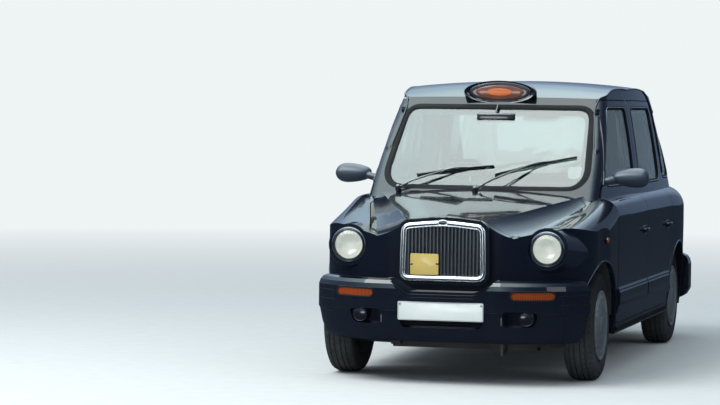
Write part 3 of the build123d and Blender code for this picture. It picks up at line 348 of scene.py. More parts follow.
def looks_in(g, place):
    """1 where a face looks towards the middle of the cabin, 0 elsewhere."""
    normal = g.add("ShaderNodeNewGeometry").outputs["Normal"]
    outwards = g.vector_math("SUBTRACT", place, CABIN_MIDDLE)[0]
    flat = g.vector_math("MULTIPLY", outwards, (1.0, 0.25, 0.7))[0]
    along = g.vector_math("NORMALIZE", flat)[0]
    facing_out = g.vector_math("DOT_PRODUCT", along, normal)["Value"]
    return g.math("LESS_THAN", facing_out, -0.45)


def shaded(colour, share):
    return tuple(part * share for part in colour)


def glass_material(name, tint, roughness=0.01, ior=1.5):
    """Tinted glass with faint smears."""
    g, shader, place = principled(name)
    smear = g.ramp(g.noise(2.5, 7.0, place, 0.6), [(0.45, roughness), (0.85, roughness + 0.035)])
    colour = g.mix(g.noise(1.5, 3.0, place), tint, shaded(tint, 0.96))
    g.feed(shader, Base_Color=colour, Roughness=smear, Transmission_Weight=1.0, IOR=ior)
    return g, shader, place


def fluted_glass_material(name):
    """Clear headlamp glass with upright flutes."""
    g, shader, place = glass_material(name, (0.96, 0.97, 0.95), 0.02)
    bump(g, shader, g.wave(place, 16.0), 0.35, 0.004)


def lens_material(name, colour, dark):
    """A coloured moulded lens with fine ribs."""
    g, shader, place = principled(name)
    ribs = g.wave(place, 34.0)
    bump(g, shader, ribs, 0.6, 0.0008)
    g.feed(shader, Base_Color=g.mix(ribs, colour, dark), Roughness=0.12, Transmission_Weight=0.25,
           Coat_Weight=1.0, Coat_Roughness=0.03)


def cloth_material(name, dark, light, fleck):
    """A woven cloth with flecks."""
    g, shader, place = principled(name)
    thread = g.times(g.wave(place, 260.0, 1.5), g.wave(place, 260.0, 1.5, "DIAGONAL"))
    colour = g.mix(thread, dark, light)
    colour = g.mix(g.ramp(g.noise(160.0, 2.0, place), [(0.62, 0.0), (0.68, 1.0)]), colour, fleck)
    g.feed(shader, Base_Color=colour, Roughness=0.92, Sheen_Weight=0.25, Sheen_Roughness=0.5)
    bump(g, shader, thread, 0.6, 0.0007)


def chrome_material(name, colour, roughness):
    """Bright metal with an uneven polish."""
    g, shader, place = principled(name)
    mixed = g.mix(g.noise(30.0, 4.0, place), colour, shaded(colour, 0.9))
    rough = g.blend(g.noise(60.0, 5.0, place), roughness * 0.6, roughness * 1.8)
    g.feed(shader, Base_Color=mixed, Roughness=rough, Metallic=1.0)


def glow(name, colour, strength):
    """A faint light of its own: a lamp that shines in the daylight, or a painted highlight standing in for a
    reflection.
    """
    g = Graph(MATERIALS[name].node_tree)
    g.feed(g.tree.nodes["Principled BSDF"], Emission_Color=rgba(colour), Emission_Strength=strength)


# Each finish: its dark and light colour, roughness, scale and height of the grain, metal and coat
FINISHES = {
    "floor_paint": ((0.03, 0.03, 0.032), (0.055, 0.055, 0.055), 0.6, 30, 0.0005, 0, 0),
    "chassis_paint": ((0.018, 0.018, 0.018), (0.045, 0.04, 0.036), 0.55, 60, 0.0004, 0, 0),
    "engine_iron": ((0.10, 0.10, 0.105), (0.17, 0.165, 0.16), 0.6, 120, 0.0006, 0.6, 0),
    "exhaust_steel": ((0.20, 0.15, 0.11), (0.38, 0.36, 0.34), 0.5, 50, 0.0004, 0.8, 0),
    "bar_paint": ((0.055, 0.065, 0.08), (0.085, 0.095, 0.11), 0.3, 80, 0.0001, 0, 0.6),
    "grille_dark": ((0.006, 0.007, 0.009), (0.010, 0.011, 0.013), 0.7, 80, 0.0002, 0, 0),
    "mirror_plastic": ((0.028, 0.042, 0.065), (0.040, 0.056, 0.080), 0.34, 900, 0.00008, 0, 0),
    "rubber": ((0.005, 0.006, 0.007), (0.010, 0.011, 0.012), 0.75, 300, 0.0001, 0, 0),
    "trim_grey": ((0.13, 0.135, 0.14), (0.19, 0.195, 0.20), 0.55, 800, 0.00015, 0, 0),
    "dash_plastic": ((0.045, 0.047, 0.05), (0.065, 0.067, 0.07), 0.5, 900, 0.0002, 0, 0),
    "knuckle_iron": ((0.08, 0.065, 0.055), (0.16, 0.14, 0.13), 0.65, 90, 0.0006, 0.6, 0),
    "tyre": ((0.006, 0.006, 0.007), (0.015, 0.015, 0.016), 0.8, 160, 0.0004, 0, 0),
    "wheel_silver": ((0.20, 0.225, 0.235), (0.29, 0.315, 0.325), 0.38, 500, 0.0001, 0.55, 0.5),
    "slot_dark": ((0.008, 0.009, 0.011), (0.014, 0.015, 0.017), 0.7, 90, 0.0002, 0, 0),
    "plate_white": ((0.66, 0.72, 0.70), (0.76, 0.80, 0.78), 0.3, 60, 0.0001, 0, 0.6),
    "plate_yellow": ((0.50, 0.36, 0.085), (0.60, 0.45, 0.125), 0.35, 60, 0.0001, 0, 0.6),
    "plate_rear": ((0.72, 0.55, 0.10), (0.80, 0.62, 0.14), 0.3, 60, 0.0001, 0, 0.6),
    "sign_lamp": ((0.42, 0.10, 0.03), (0.62, 0.17, 0.05), 0.25, 60, 0.00005, 0, 0),
    "sign_face": ((0.10, 0.035, 0.022), (0.26, 0.075, 0.03), 0.22, 60, 0.0001, 0, 1.0),
    "sign_dark": ((0.020, 0.018, 0.026), (0.035, 0.028, 0.034), 0.2, 60, 0.0001, 0, 1.0),
    "lamp_bowl": ((0.82, 0.84, 0.82), (0.94, 0.95, 0.92), 0.32, 20, 0.0003, 0.25, 0),
    "black_gloss": ((0.004, 0.005, 0.008), (0.007, 0.008, 0.012), 0.2, 120, 0.0001, 0, 1.0),
    "disc_pale": ((0.60, 0.64, 0.64), (0.70, 0.73, 0.73), 0.5, 200, 0.00002, 0, 0),
    "trim_dark": ((0.018, 0.019, 0.021), (0.032, 0.033, 0.036), 0.55, 700, 0.00015, 0, 0),
    "door_trim": ((0.050, 0.053, 0.058), (0.075, 0.078, 0.084), 0.6, 800, 0.0002, 0, 0),
    "rim_leather": ((0.010, 0.010, 0.011), (0.020, 0.020, 0.021), 0.5, 500, 0.0002, 0, 0),
    "mat_rubber": ((0.014, 0.014, 0.015), (0.026, 0.026, 0.027), 0.7, 240, 0.0006, 0, 0),
    "engine_top": ((0.055, 0.058, 0.06), (0.10, 0.105, 0.11), 0.45, 60, 0.0004, 0.3, 0.2),
    "bottle_plastic": ((0.55, 0.57, 0.55), (0.66, 0.68, 0.66), 0.4, 80, 0.0001, 0, 0),
    "frit": ((0.020, 0.028, 0.028), (0.028, 0.038, 0.038), 0.6, 300, 0.00005, 0, 0),
    "rim_paint": ((0.05, 0.052, 0.055), (0.09, 0.092, 0.095), 0.45, 120, 0.0002, 0.3, 0.2),
    "steel": ((0.28, 0.29, 0.30), (0.42, 0.43, 0.44), 0.4, 90, 0.0002, 0.9, 0),
}
DULL = ("rubber", "slot_dark", "frit", "grille_dark", "tyre")
DIRTY = ("tyre", "chassis_paint", "wheel_silver")


def make_materials():
    paint_material("paint")
    paint_material("paint_lined", ((0.055, 0.057, 0.06), (0.085, 0.087, 0.09)))
    paint_material("paint_ceiling", ((0.36, 0.36, 0.35), (0.44, 0.44, 0.43)))
    glass_material("windscreen_glass", (0.72, 0.83, 0.80), roughness=0.0, ior=1.9)
    glass_material("side_glass", (0.34, 0.43, 0.44), ior=1.6)
    glass_material("clear_glass", (0.95, 0.96, 0.96), roughness=0.02)
    chrome_material("chrome", (0.90, 0.93, 0.95), 0.10)
    chrome_material("mirror_glass", (0.86, 0.88, 0.90), 0.015)
    fluted_glass_material("fluted_glass")
    lens_material("amber_lens", (0.46, 0.085, 0.012), (0.20, 0.030, 0.008))
    lens_material("red_lens", (0.50, 0.012, 0.012), (0.22, 0.004, 0.004))
    lens_material("clear_lens", (0.75, 0.76, 0.74), (0.5, 0.5, 0.5))
    cloth_material("seat_cloth", (0.035, 0.04, 0.055), (0.10, 0.11, 0.14), (0.20, 0.22, 0.28))
    cloth_material("visor_cloth", (0.30, 0.30, 0.29), (0.40, 0.40, 0.39), (0.44, 0.44, 0.43))
    cloth_material("carpet", (0.018, 0.018, 0.02), (0.05, 0.05, 0.055), (0.09, 0.09, 0.09))
    for name, (dark, light, rough, grain, height, metallic, coat) in FINISHES.items():
        finish_material(name, dark, light, rough, grain, height, metallic, coat,
                        0.2 if name in DULL else 0.5, 0.5 if name in DIRTY else 0.0)
    # The headlamp bowls' glow is a painted highlight: pale mint brightness standing in for the sky reflected
    # in the lamps.
    glow("lamp_bowl", (0.86, 0.93, 0.84), 0.22)
    glow("sign_lamp", (1.0, 0.22, 0.05), 0.10)


make_materials()

NODE_LOOKS = {
    "roof_panel": "paint_ceiling",
    "windscreen": "windscreen_glass",
    "fixed_glass": "side_glass",
    "mirror_left": "mirror_plastic",
    "mirror_right": "mirror_plastic",
    "dashboard": "dash_plastic",
    "steering_wheel": "rubber",
    "parcel_shelf": "trim_grey",
    "partition": "trim_grey",
    "roof_sign": "black_gloss",
    "grille_surround": "chrome",
    "rear_bench": "seat_cloth",
    "headlamps": "clear_lens",
}
SLOT_LOOKS = {
    "body_paint": "paint",
    "window_glass": "side_glass",
    "lamp_lens": "clear_lens",
    "trim_panel": "trim_grey",
}
DOORS = ("front_door_left", "front_door_right", "rear_door_left", "rear_door_right")
LINED = ("side_frame_left", "side_frame_right", "scuttle", "rear_panel", *DOORS)


def dress_nodes():
    """Gives every CAD piece the look of its name, or else of its record slot."""
    slot_of = {s["node"]: s["material_slot"] for s in frame["record"]["subparts"]}
    for name, node in nodes.items():
        slot = slot_of[name]
        look = NODE_LOOKS.get(name) or ("paint_lined" if name in LINED else SLOT_LOOKS.get(slot, slot))
        node.data.materials.clear()
        node.data.materials.append(MATERIALS[look])


dress_nodes()

# Shapes

MM = 0.001
CORE = 0.01
HUG_STEP = 15.0
SIDES = (("left", 1), ("right", -1))
LEFTWARD, UPWARD, FORWARD, BACKWARD = (1, 0, 0), (0, 0, 1), (0, -1, 0), (0, 1, 0)
VIEWS = {
    "left": (-1, 0, 0), "right": (1, 0, 0), "front": BACKWARD, "back": FORWARD, "top": (0, 0, -1),
}


def bands(rings, size, ring_loop=False, loop=True, caps=False, turned=False):
    """Faces between rings of points: loops close on themselves, caps close the first and last ring."""
    faces = []
    for i in range(rings if ring_loop else rings - 1):
        near, far = i * size, (i + 1) % rings * size
        for k in range(size if loop else size - 1):
            m = (k + 1) % size
            face = (near + k, near + m, far + m, far + k)
            faces.append((face[0], face[3], face[2], face[1]) if turned else face)
    if caps:
        faces += [tuple(range(size)), tuple((rings - 1) * size + k for k in range(size))]
    return faces


def mesh_piece(name, points, faces, looks, body, sharp, indices=None):
    """A mesh piece in the row frame that rides on a body, with hard edges over an angle in degrees."""
    mesh = bpy.data.meshes.new(name)
    mesh.from_pydata([tuple(p) for p in points], [], faces)
    for look in ([looks] if isinstance(looks, str) else looks):
        mesh.materials.append(MATERIALS[look])
    if indices:
        mesh.polygons.foreach_set("material_index", indices)
    shape = bmesh.new()
    shape.from_mesh(mesh)
    bmesh.ops.remove_doubles(shape, verts=shape.verts, dist=1e-6)
    bmesh.ops.recalc_face_normals(shape, faces=shape.faces)
    shape.to_mesh(mesh)
    shape.free()
    mesh.polygons.foreach_set("use_smooth", [True] * len(mesh.polygons))
    mesh.set_sharp_from_angle(angle=math.radians(sharp))
    made = bpy.data.objects.new(name, mesh)
    scene.collection.objects.link(made)
    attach(made, body)
    return made


def rounded(rows, pieces=7):
    """A closed outline from rows of two coordinates and a corner radius, in millimetres."""
    out = []
    for index, (u, v, radius) in enumerate(rows):
        here = Vector((u, v))
        back = Vector(rows[index - 1][:2]) - here
        on = Vector(rows[(index + 1) % len(rows)][:2]) - here
        half = back.angle(on) / 2
        cut = min(radius / math.tan(half), back.length * 0.49, on.length * 0.49)
        reach = cut * math.tan(half)
        back.normalize()
        on.normalize()
        centre = here + (back + on).normalized() * (reach / math.sin(half))
        start, end = here + back * cut - centre, here + on * cut - centre
        a0 = math.atan2(start.y, start.x)
        turn = math.atan2(end.y, end.x) - a0
        turn = (turn + math.pi) % (2 * math.pi) - math.pi
        for k in range(pieces + 1):
            a = a0 + turn * k / pieces
            out.append((centre.x + reach * math.cos(a), centre.y + reach * math.sin(a)))
    return out


def panel_line(a0, b0, a1, b1, radius):
    """A rounded rectangle between two corners."""
    return rounded([(a0, b0, radius), (a1, b0, radius), (a1, b1, radius), (a0, b1, radius)])


def oval(wide, high, count=72):
    turns = [2 * math.pi * k / count for k in range(count)]
    return [(wide * math.cos(t), high * math.sin(t)) for t in turns]


def steps(start, end, count):
    return [start + (end - start) * k / count for k in range(count + 1)]


def area_sign(line):
    """1 for an outline that runs anticlockwise, -1 for the other way."""
    total = sum(a[0] * b[1] - b[0] * a[1] for a, b in zip(line, line[1:] + line[:1]))
    return 1.0 if total > 0 else -1.0


def offset(line, distance):
    """A closed outline moved outwards by a distance."""
    sign, out = area_sign(line), []
    for i, here in enumerate(line):
        a = Vector(here) - Vector(line[i - 1])
        b = Vector(line[(i + 1) % len(line)]) - Vector(here)
        if a.length < 1e-9:
            a = b
        if b.length < 1e-9:
            b = a
        n = a.normalized() + b.normalized()
        n = Vector((n.y, -n.x)).normalized() * sign
        scale = 1 / max(0.5, n.dot(Vector((a.y, -a.x)).normalized() * sign))
        out.append((here[0] + n.x * distance * scale, here[1] + n.y * distance * scale))
    return out


def spaced(line, step, closed=True):
    """The outline with points at an even distance."""
    points = [Vector(p) for p in line] + ([Vector(line[0])] if closed else [])
    lengths = [0.0]
    for a, b in zip(points, points[1:]):
        lengths.append(lengths[-1] + (b - a).length)
    count = max(3, round(lengths[-1] / step))
    out, k = [], 0
    for i in range(count if closed else count + 1):
        at = lengths[-1] * i / count
        while k < len(lengths) - 2 and lengths[k + 1] < at:
            k += 1
        span = lengths[k + 1] - lengths[k]
        t = 0 if span == 0 else (at - lengths[k]) / span
        out.append(tuple(points[k].lerp(points[k + 1], t)))
    return out


def skin(*names):
    """A search tree of the surfaces of some nodes."""
    points, faces = [], []
    for name in names:
        mesh, start = nodes[name].data, len(points)
        points += [v.co.copy() for v in mesh.vertices]
        faces += [tuple(start + i for i in p.vertices) for p in mesh.polygons]
    return BVHTree.FromPolygons(points, faces)


def cast(tree, view, a, b):
    """The outer surface seen from a side: left, right, front, back or top; a and b in millimetres."""
    a, b = a * MM, b * MM
    start = {
        "left": (1.5, a, b), "right": (-1.5, a, b),
        "front": (a, -3.0, b), "back": (a, 3.0, b), "top": (a, b, 2.5),
    }[view]
    aim = VIEWS[view]
    point, normal, _, _ = tree.ray_cast(Vector(start), Vector(aim))
    if point is None:
        return None
    if normal.dot(Vector(aim)) > 0:
        normal = -normal
    return point, normal


def projected(tree, view, line):
    """The points of an outline on a surface, with their normals; points that miss are left out."""
    return [hit for hit in (cast(tree, view, a, b) for a, b in line) if hit]


def hug(tree, points):
    """A smooth open path through points in millimetres, laid on the nearest surface."""
    line = smooth_line([Vector(p) * MM for p in points], 8)
    path = []
    for p in spaced(line, HUG_STEP * MM, False):
        place, normal, _, _ = tree.find_nearest(Vector(p))
        path.append((place, normal))
    return smoothed(path, 3, False)


def smoothed(path, rounds=2, closed=True):
    """A path whose normals and places are evened out."""
    count = len(path)
    for _ in range(rounds):
        new = []
        for i, (p, n) in enumerate(path):
            if not closed and i in (0, count - 1):
                new.append((p, n))
                continue
            (pa, na), (pb, nb) = path[i - 1], path[(i + 1) % count]
            new.append((p * 0.5 + (pa + pb) * 0.25, (n * 2 + na + nb).normalized()))
        path = new
    return path


def sweep(name, path, profile, looks, body="body", closed=True, sharp=50.0):
    """A closed section of (across, out) millimetres swept along surface points."""
    points, count = [], len(path)
    for i, (p, n) in enumerate(path):
        before = path[i - 1][0] if closed or i else p
        after = path[(i + 1) % count][0] if closed or i < count - 1 else p
        along = (after - before).normalized()
        side = along.cross(n).normalized()
        up = side.cross(along).normalized()
        points += [p + side * (a * MM) + up * (u * MM) for a, u in profile]
    faces = bands(count, len(profile), closed, caps=not closed)
    return mesh_piece(name, points, faces, looks, body, sharp)


def bead(width, height, sink=1.5):
    """A rounded strip section that stands on a surface."""
    half = width / 2
    return [(-half, -sink), (-half, height * 0.4), (-half * 0.75, height * 0.85), (-half * 0.3, height),
            (half * 0.3, height), (half * 0.75, height * 0.85), (half, height * 0.4), (half, -sink)]


def tube(name, points, radius, looks, body="body", closed=False, count=10, pieces=6):
    """A round bar through points in millimetres, on a smooth curve."""
    line = smooth_line([Vector(p) * MM for p in points], pieces, closed)
    ring, normal = [], None
    for i, p in enumerate(line):
        before = line[i - 1] if closed or i else p
        after = line[(i + 1) % len(line)] if closed or i < len(line) - 1 else p
        along = (after - before).normalized()
        if normal is None:
            normal = along.orthogonal().normalized()
        normal = (normal - along * normal.dot(along)).normalized()
        side = along.cross(normal)
        ring += [p + (normal * a + side * b) * MM for a, b in oval(radius, radius, count)]
    faces = bands(len(line), count, closed, caps=not closed)
    return mesh_piece(name, ring, faces, looks, body, 50)


def smooth_line(points, pieces, closed=False):
    """A curve through all the points."""
    if len(points) < 3:
        return points
    out, count = [], len(points)
    for i in range(count if closed else count - 1):
        p1, p2 = points[i], points[(i + 1) % count]
        p0 = points[i - 1] if closed or i else p1 * 2 - p2
        p3 = points[(i + 2) % count] if closed or i < count - 2 else p2 * 2 - p1
        for k in range(pieces):
            t = k / pieces
            out.append(0.5 * (2 * p1 + (p2 - p0) * t + (2 * p0 - 5 * p1 + 4 * p2 - p3) * t * t
                              + (3 * p1 - p0 - 3 * p2 + p3) * t * t * t))
    return out if closed else out + [points[-1]]


def lathe(name, rows, centre, axis, looks, body="body", count=64, sharp=30.0, closed=True):
    """A turned shape from (radius, place along the axis) rows, in millimetres."""
    centre, axis = Vector(centre) * MM, Vector(axis).normalized()
    u = axis.orthogonal().normalized()
    v = axis.cross(u)
    points = []
    for i in range(count):
        a = 2 * math.pi * i / count
        out = u * math.cos(a) + v * math.sin(a)
        points += [centre + out * (r * MM) + axis * (h * MM) for r, h in rows]
    return mesh_piece(name, points, bands(count, len(rows), True, closed, turned=True), looks, body, sharp)


def knob(name, top, rows, centre, axis, look, body="body", count=28, sharp=30.0):
    """A closed turned piece: the height of its middle, then (radius, height) rows down to its base."""
    lathe(name, [(CORE, top), *rows, (CORE, rows[-1][1])], centre, axis, look, body, count, sharp)


def slab(name, line, plane, thickness, looks, body="body", edge=1.0, crown=0.0):
    """A plate with rounded front edges on a plane (origin in mm, u, v, outward normal)."""
    origin, u, v, n = [Vector(p) for p in plane]
    for direction in (u, v, n):
        direction.normalize()
    rings = [(0, 0), (0, thickness - edge), (-edge * 0.3, thickness - edge * 0.3), (-edge, thickness)]
    middle = Vector((sum(p[0] for p in line), sum(p[1] for p in line))) / len(line)
    layers = [([Vector(p) for p in offset(line, grow)], up) for grow, up in rings]
    if crown:
        last = layers[-1][0]
        for share in (0.85, 0.65, 0.4, 0.15):
            layers.append(([middle.lerp(p, share) for p in last], thickness + crown * (1 - share * share)))
    points = []
    for ring, up in layers:
        points += [(origin + u * p.x + v * p.y + n * up) * MM for p in ring]
    return mesh_piece(name, points, bands(len(layers), len(line), caps=True), looks, body, 40)


def seat_plane(spot, along, lift):
    """A plane over a spot of a surface, lifted in millimetres, whose second direction points up."""
    place, normal = spot
    up = normal.cross(Vector(along)).normalized()
    return (place + normal * lift * MM) / MM, along, up if up.z > 0 else -up, normal


def block(name, low, high, radius, look, body="body", segments=4):
    """A rounded block between two corners in millimetres."""
    shape = bmesh.new()
    bmesh.ops.create_cube(shape, size=1.0)
    size = Vector(high) - Vector(low)
    bmesh.ops.scale(shape, vec=size, verts=shape.verts)
    bmesh.ops.bevel(shape, geom=shape.edges[:], offset=min(radius, min(size) * 0.49), segments=segments,
                    profile=0.5, affect="EDGES")
    shift = Matrix.Translation((Vector(high) + Vector(low)) / 2)
    points = [(shift @ v.co) * MM for v in shape.verts]
    faces = [tuple(v.index for v in f.verts) for f in shape.faces]
    shape.free()
    return mesh_piece(name, points, faces, look, body, 60)


# Outside

outer = skin("front_wings", "bonnet", "side_frame_left", "side_frame_right", "scuttle", "roof_panel",
             "rear_panel", "boot_lid", *DOORS)
screens = skin("windscreen", "fixed_glass")
bumper_skin = skin("front_bumper")
tail_skin = skin("tail_lamps")
screen_line = rounded([(-650, 1158, 100), (650, 1158, 100), (602, 1652, 75), (-602, 1652, 75)])
rear_line = rounded([(-530, 1218, 70), (530, 1218, 70), (500, 1606, 80), (-500, 1606, 80)])
# Windows as seen from the side: place along the cab, height and corner radius
FRONT_WINDOW = [(-925, 1168, 40), (-100, 1168, 35), (-100, 1662, 45), (-590, 1662, 70), (-915, 1265, 70)]
REAR_WINDOW = [(62, 1168, 35), (898, 1168, 60), (806, 1662, 60), (62, 1662, 45)]
QUARTER_WINDOW = [(1085, 1180, 45), (1430, 1180, 60), (1270, 1635, 70), (955, 1635, 45)]
# Sections of strips: across, where outwards from the pane is plus, and height over the surface
SEAL = [(-17, -13), (-17, -7), (-12, -4.5), (-6, 0.8), (-1, 2.2), (4.5, 2.0), (7, 0.4), (7, -1.5)]
# Past the real seal, this section runs on outwards as a dark band over the pillars and header: a painted dark
# reflection standing in for what the curved pillars reflect.
SEAL_AND_PAINTED_DARK_BAND = SEAL[:-2] + [(20, 2.2), (25, 1.0), (26, -1.5)]
INSERT = [(-5.5, 0.5), (-4.5, 2.4), (-2.2, 3.0), (0, 2.6), (1, 1.2), (0, 0)]
FRIT_POINTS, FRIT_DEPTH, DISC_DEPTH = 200, 6.2, 6.4
END_DROP = 3.0
AXLES = (("front", -1547.5), ("rear", 1338.5))
HALF_TRACK, TYRE_RADIUS = 745, 334.5


def facing(line, view):
    """The outline in the order that puts positive across outwards."""
    positive = area_sign(line) > 0
    return line if positive == (view in ("front", "left", "top")) else line[::-1]


def ring_path(tree, view, line, grow=3.0, step=14.0, rounds=2):
    return smoothed(projected(tree, view, spaced(facing(offset(line, grow), view), step)), rounds)


def flat_path(line, y, out, z=0.0):
    """A path on an upright plane across the cab, round a height."""
    return [(Vector((a, y, z + b)) * MM, Vector(out)) for a, b in line]


def window_seal(name, view, line, body="body", bright=False):
    """A rubber seal round a pane, with a bright insert if asked. On the front and back panes it runs on
    outwards as a dark band over the pillars, a painted dark reflection.
    """
    path = ring_path(outer, view, line)
    sweep(name + "_seal", path, SEAL_AND_PAINTED_DARK_BAND if view in ("front", "back") else SEAL, "rubber", body)
    if bright:
        sweep(name + "_insert", path, INSERT, "chrome", body)


def frit_band(name, view, line, inner):
    """The dark printed border behind the edge of a pane, between two outlines."""
    points = []
    for ring in (offset(line, -1), inner):
        length = sum((Vector(a) - Vector(b)).length for a, b in zip(ring, ring[1:] + ring[:1]))
        for a, b in spaced(facing(ring, view), length / FRIT_POINTS)[:FRIT_POINTS]:
            place, normal = cast(screens, view, a, b)
            points.append(place - normal * FRIT_DEPTH * MM)
    mesh_piece(name, points, bands(2, FRIT_POINTS), "frit", "body", 60)


def windows():
    """Seals, printed borders and the blank disc behind the windscreen."""
    window_seal("windscreen", "front", screen_line)
    window_seal("rear_window", "back", rear_line)
    plane = seat_plane(cast(screens, "front", 566, 1253), LEFTWARD, -DISC_DEPTH)
    disc = rounded([(-42, -54, 40), (42, -54, 40), (42, 50, 14), (-42, 50, 14)])
    slab("windscreen_disc", disc, plane, 0.5, "disc_pale", edge=0.2)
    inner = rounded([(-606, 1196, 75), (606, 1196, 75), (572, 1606, 55), (92, 1606, 26), (70, 1578, 20),
                     (-70, 1578, 20), (-92, 1606, 26), (-572, 1606, 55)])
    frit_band("windscreen_frit", "front", screen_line, inner)
    frit_band("rear_window_frit", "back", rear_line, offset(rear_line, -26))
    for word, _ in SIDES:
        for node, rows in (("front_door", FRONT_WINDOW), ("rear_door", REAR_WINDOW)):
            window_seal(f"{node}_{word}", word, rounded(rows), f"{node}_{word}", True)
        window_seal(f"quarter_{word}", word, rounded(QUARTER_WINDOW), bright=True)


def interior_mirror():
    """The driver's mirror on its stalk behind the glass."""
    block("inner_mirror_case", (-125, -790, 1560), (125, -768, 1618), 20, "black_gloss")
    block("inner_mirror_glass", (-117, -769, 1566), (117, -766, 1612), 1.2, "mirror_glass")
    tube("inner_mirror_stalk", [(0, -780, 1590), (0, -770, 1630), (0, -725, 1672)], 7, "black_gloss")


def raised(name, view, us, rows, look, body="body"):
    """A moulding over the shell: samples along it, and (place, height) rows across it."""
    us = [us[0], *us, us[-1]]
    points = []
    for i, u in enumerate(us):
        for v, height in rows:
            place, normal = cast(outer, view, u, v) or cast(outer, view, us[len(us) // 2], v)
            up = -END_DROP if i in (0, len(us) - 1) else height
            points.append(place + normal * up * MM)
    mesh_piece(name, points, bands(len(us), len(rows), loop=False), look, body, 40)


MOULDING = [(427, -3), (428, 3.5), (431, 5.5), (460, 6), (500, 6), (536, 5.5), (540, 3.5), (541, -3)]
SILL = [(268, -3), (270, 4), (276, 6), (292, 6), (298, 4), (300, -3)]


def side_mouldings():
    """The rubbing strips of the doors and wings, and the sill covers."""
    for word, _ in SIDES:
        raised(f"moulding_wing_{word}", word, steps(-1166, -1144, 14), MOULDING, "paint")
        for node, start, end in (("front_door", -1110, -44), ("rear_door", -10, 884)):
            body = f"{node}_{word}"
            raised(f"moulding_{body}", word, steps(start, end, 14), MOULDING, "paint", body)
        raised(f"sill_cover_{word}", word, steps(-1120, 900, 24), SILL, "rubber")


RAIL_POINTS = [
    (690, -1066, 1150), (668, -950, 1300), (650, -850, 1447), (636, -745, 1600), (632, -690, 1690),
    (655, -625, 1752), (694, -480, 1780), (702, -200, 1786), (702, 300, 1786), (706, 700, 1774),
    (722, 890, 1710), (752, 1000, 1560), (790, 1062, 1380), (812, 1085, 1220),
]
PILLAR_POINTS = [
    (706, -1060, 1160), (688, -950, 1300), (670, -850, 1447), (652, -745, 1600), (642, -695, 1680),
]


def drip_rails():
    """The gutters over the doors and the covers of the screen pillars."""
    for name, points, section, sharp in (("drip_rail", RAIL_POINTS, bead(12, 8), 50),
                                         ("pillar_cover", PILLAR_POINTS, bead(40, 7), 80)):
        for word, side in SIDES:
            path = hug(outer, [(side * x, y, z) for x, y, z in points])
            sweep(f"{name}_{word}", path, section, "paint", closed=False, sharp=sharp)


ARCH_RADIUS = 392


def arch_lips():
    """The rolled lips of the wheel arches."""
    for word, _ in SIDES:
        for (end, centre), low in zip(AXLES, (270, 276)):
            turns = [math.radians(k) for k in range(-6, 187, 3)]
            line = [(centre + ARCH_RADIUS * math.cos(a), TYRE_RADIUS + ARCH_RADIUS * math.sin(a))
                    for a in turns]
            hits = projected(outer, word, [point for point in line if point[1] > low])
            path = smoothed([hit for hit in hits if abs(hit[0].x) > 0.70], 2, False)
            sweep(f"arch_lip_{end}_{word}", path, bead(12, 3.5, 9), "paint", closed=False)


HANDLE_Z = 862
# The grip's points from the middle of the handle: along, up and out
GRIP = ((-66, 2, 4), (-52, 4, 22), (-10, 5, 27), (34, 4, 22), (50, 2, 4))
GRIP_SECTION = [(-11, -4), (-12, 0), (-9, 4), (0, 6), (9, 4), (12, 0), (11, -4), (0, -5)]


def door_handles():
    """A dished handle and a lock on each door; the dish is a flat dark patch of painted shade standing in for
    the recess.
    """
    for word, side in SIDES:
        for node, middle in (("front_door", -150), ("rear_door", 830)):
            body = f"{node}_{word}"
            dish = panel_line(middle - 78, HANDLE_Z - 26, middle + 62, HANDLE_Z + 26, 24)
            sweep(f"handle_rim_{body}", ring_path(outer, word, dish, 0, 8, 1), bead(6, 2.4), "paint", body)
            hit, normal = cast(outer, word, middle - 8, HANDLE_Z)
            plane = ((hit + normal * 0.4 * MM) / MM, (0, side, 0), UPWARD, normal)
            inner = [((a - middle + 8) * side, b - HANDLE_Z) for a, b in offset(dish, -2)]
            # The dish is a flat dark patch on the skin: painted shade standing in for the recess behind the
            # grip.
            slab(f"handle_dish_painted_shade_{body}", inner, plane, 1.0, "slot_dark", body, 0.4)
            points = []
            for along, up, lift in GRIP:
                place, normal = cast(outer, word, middle + along, HANDLE_Z + up)
                points.append((place + normal * lift * MM) / MM)
            line = smooth_line([p * MM for p in points], 6)
            path = [(p, Vector((side, 0, 0.05)).normalized()) for p in line]
            sweep(f"handle_grip_{body}", path, GRIP_SECTION, "black_gloss", body, False)
            place, normal = cast(outer, word, middle + 88, HANDLE_Z - 4)
            knob(f"lock_{body}", 4.5, [(9, 4.5), (11, 3), (12, -2)], place / MM, normal, "chrome", body, 24)


def repeaters():
    """The oval side indicators on the front wings."""
    for word, _ in SIDES:
        plane = seat_plane(cast(outer, word, -1500, 852), BACKWARD, -2)
        slab(f"repeater_base_{word}", oval(37, 23, 32), plane, 6, "rubber", edge=1.5)
        slab(f"repeater_lens_{word}", oval(32, 18, 32), plane, 12, "amber_lens", edge=3, crown=5)


MIRROR_Y, MIRROR_Z, MIRROR_COUNT = -914, 1222, 40
# Each ring of the case: its place outwards, its half height and its depth
MIRROR_STATIONS = [
    (786, 14, 10), (792, 27, 22), (806, 37, 33), (832, 47, 42), (872, 56, 46), (915, 62, 47), (955, 63, 47),
    (985, 57, 45), (1003, 45, 38), (1012, 30, 27), (1017, 10, 9),
]


def mirror_case(word, side, body):
    """A teardrop case, round in front and nearly flat behind."""
    points = []
    for x, half, deep in MIRROR_STATIONS:
        for c, v in oval(1, 1, MIRROR_COUNT):
            y = MIRROR_Y - (deep + 30) * c if c > 0 else MIRROR_Y + 9 * min(1, 1.6 * abs(c))
            points.append((side * x * MM, y * MM, (MIRROR_Z + half * v) * MM))
    faces = bands(len(MIRROR_STATIONS), MIRROR_COUNT, caps=True)
    case = mesh_piece(f"mirror_case_{word}", points, faces, "mirror_plastic", body, 55)
    case.modifiers.new("round", "SUBSURF").render_levels = 1
    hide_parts(f"mirror_{word}")


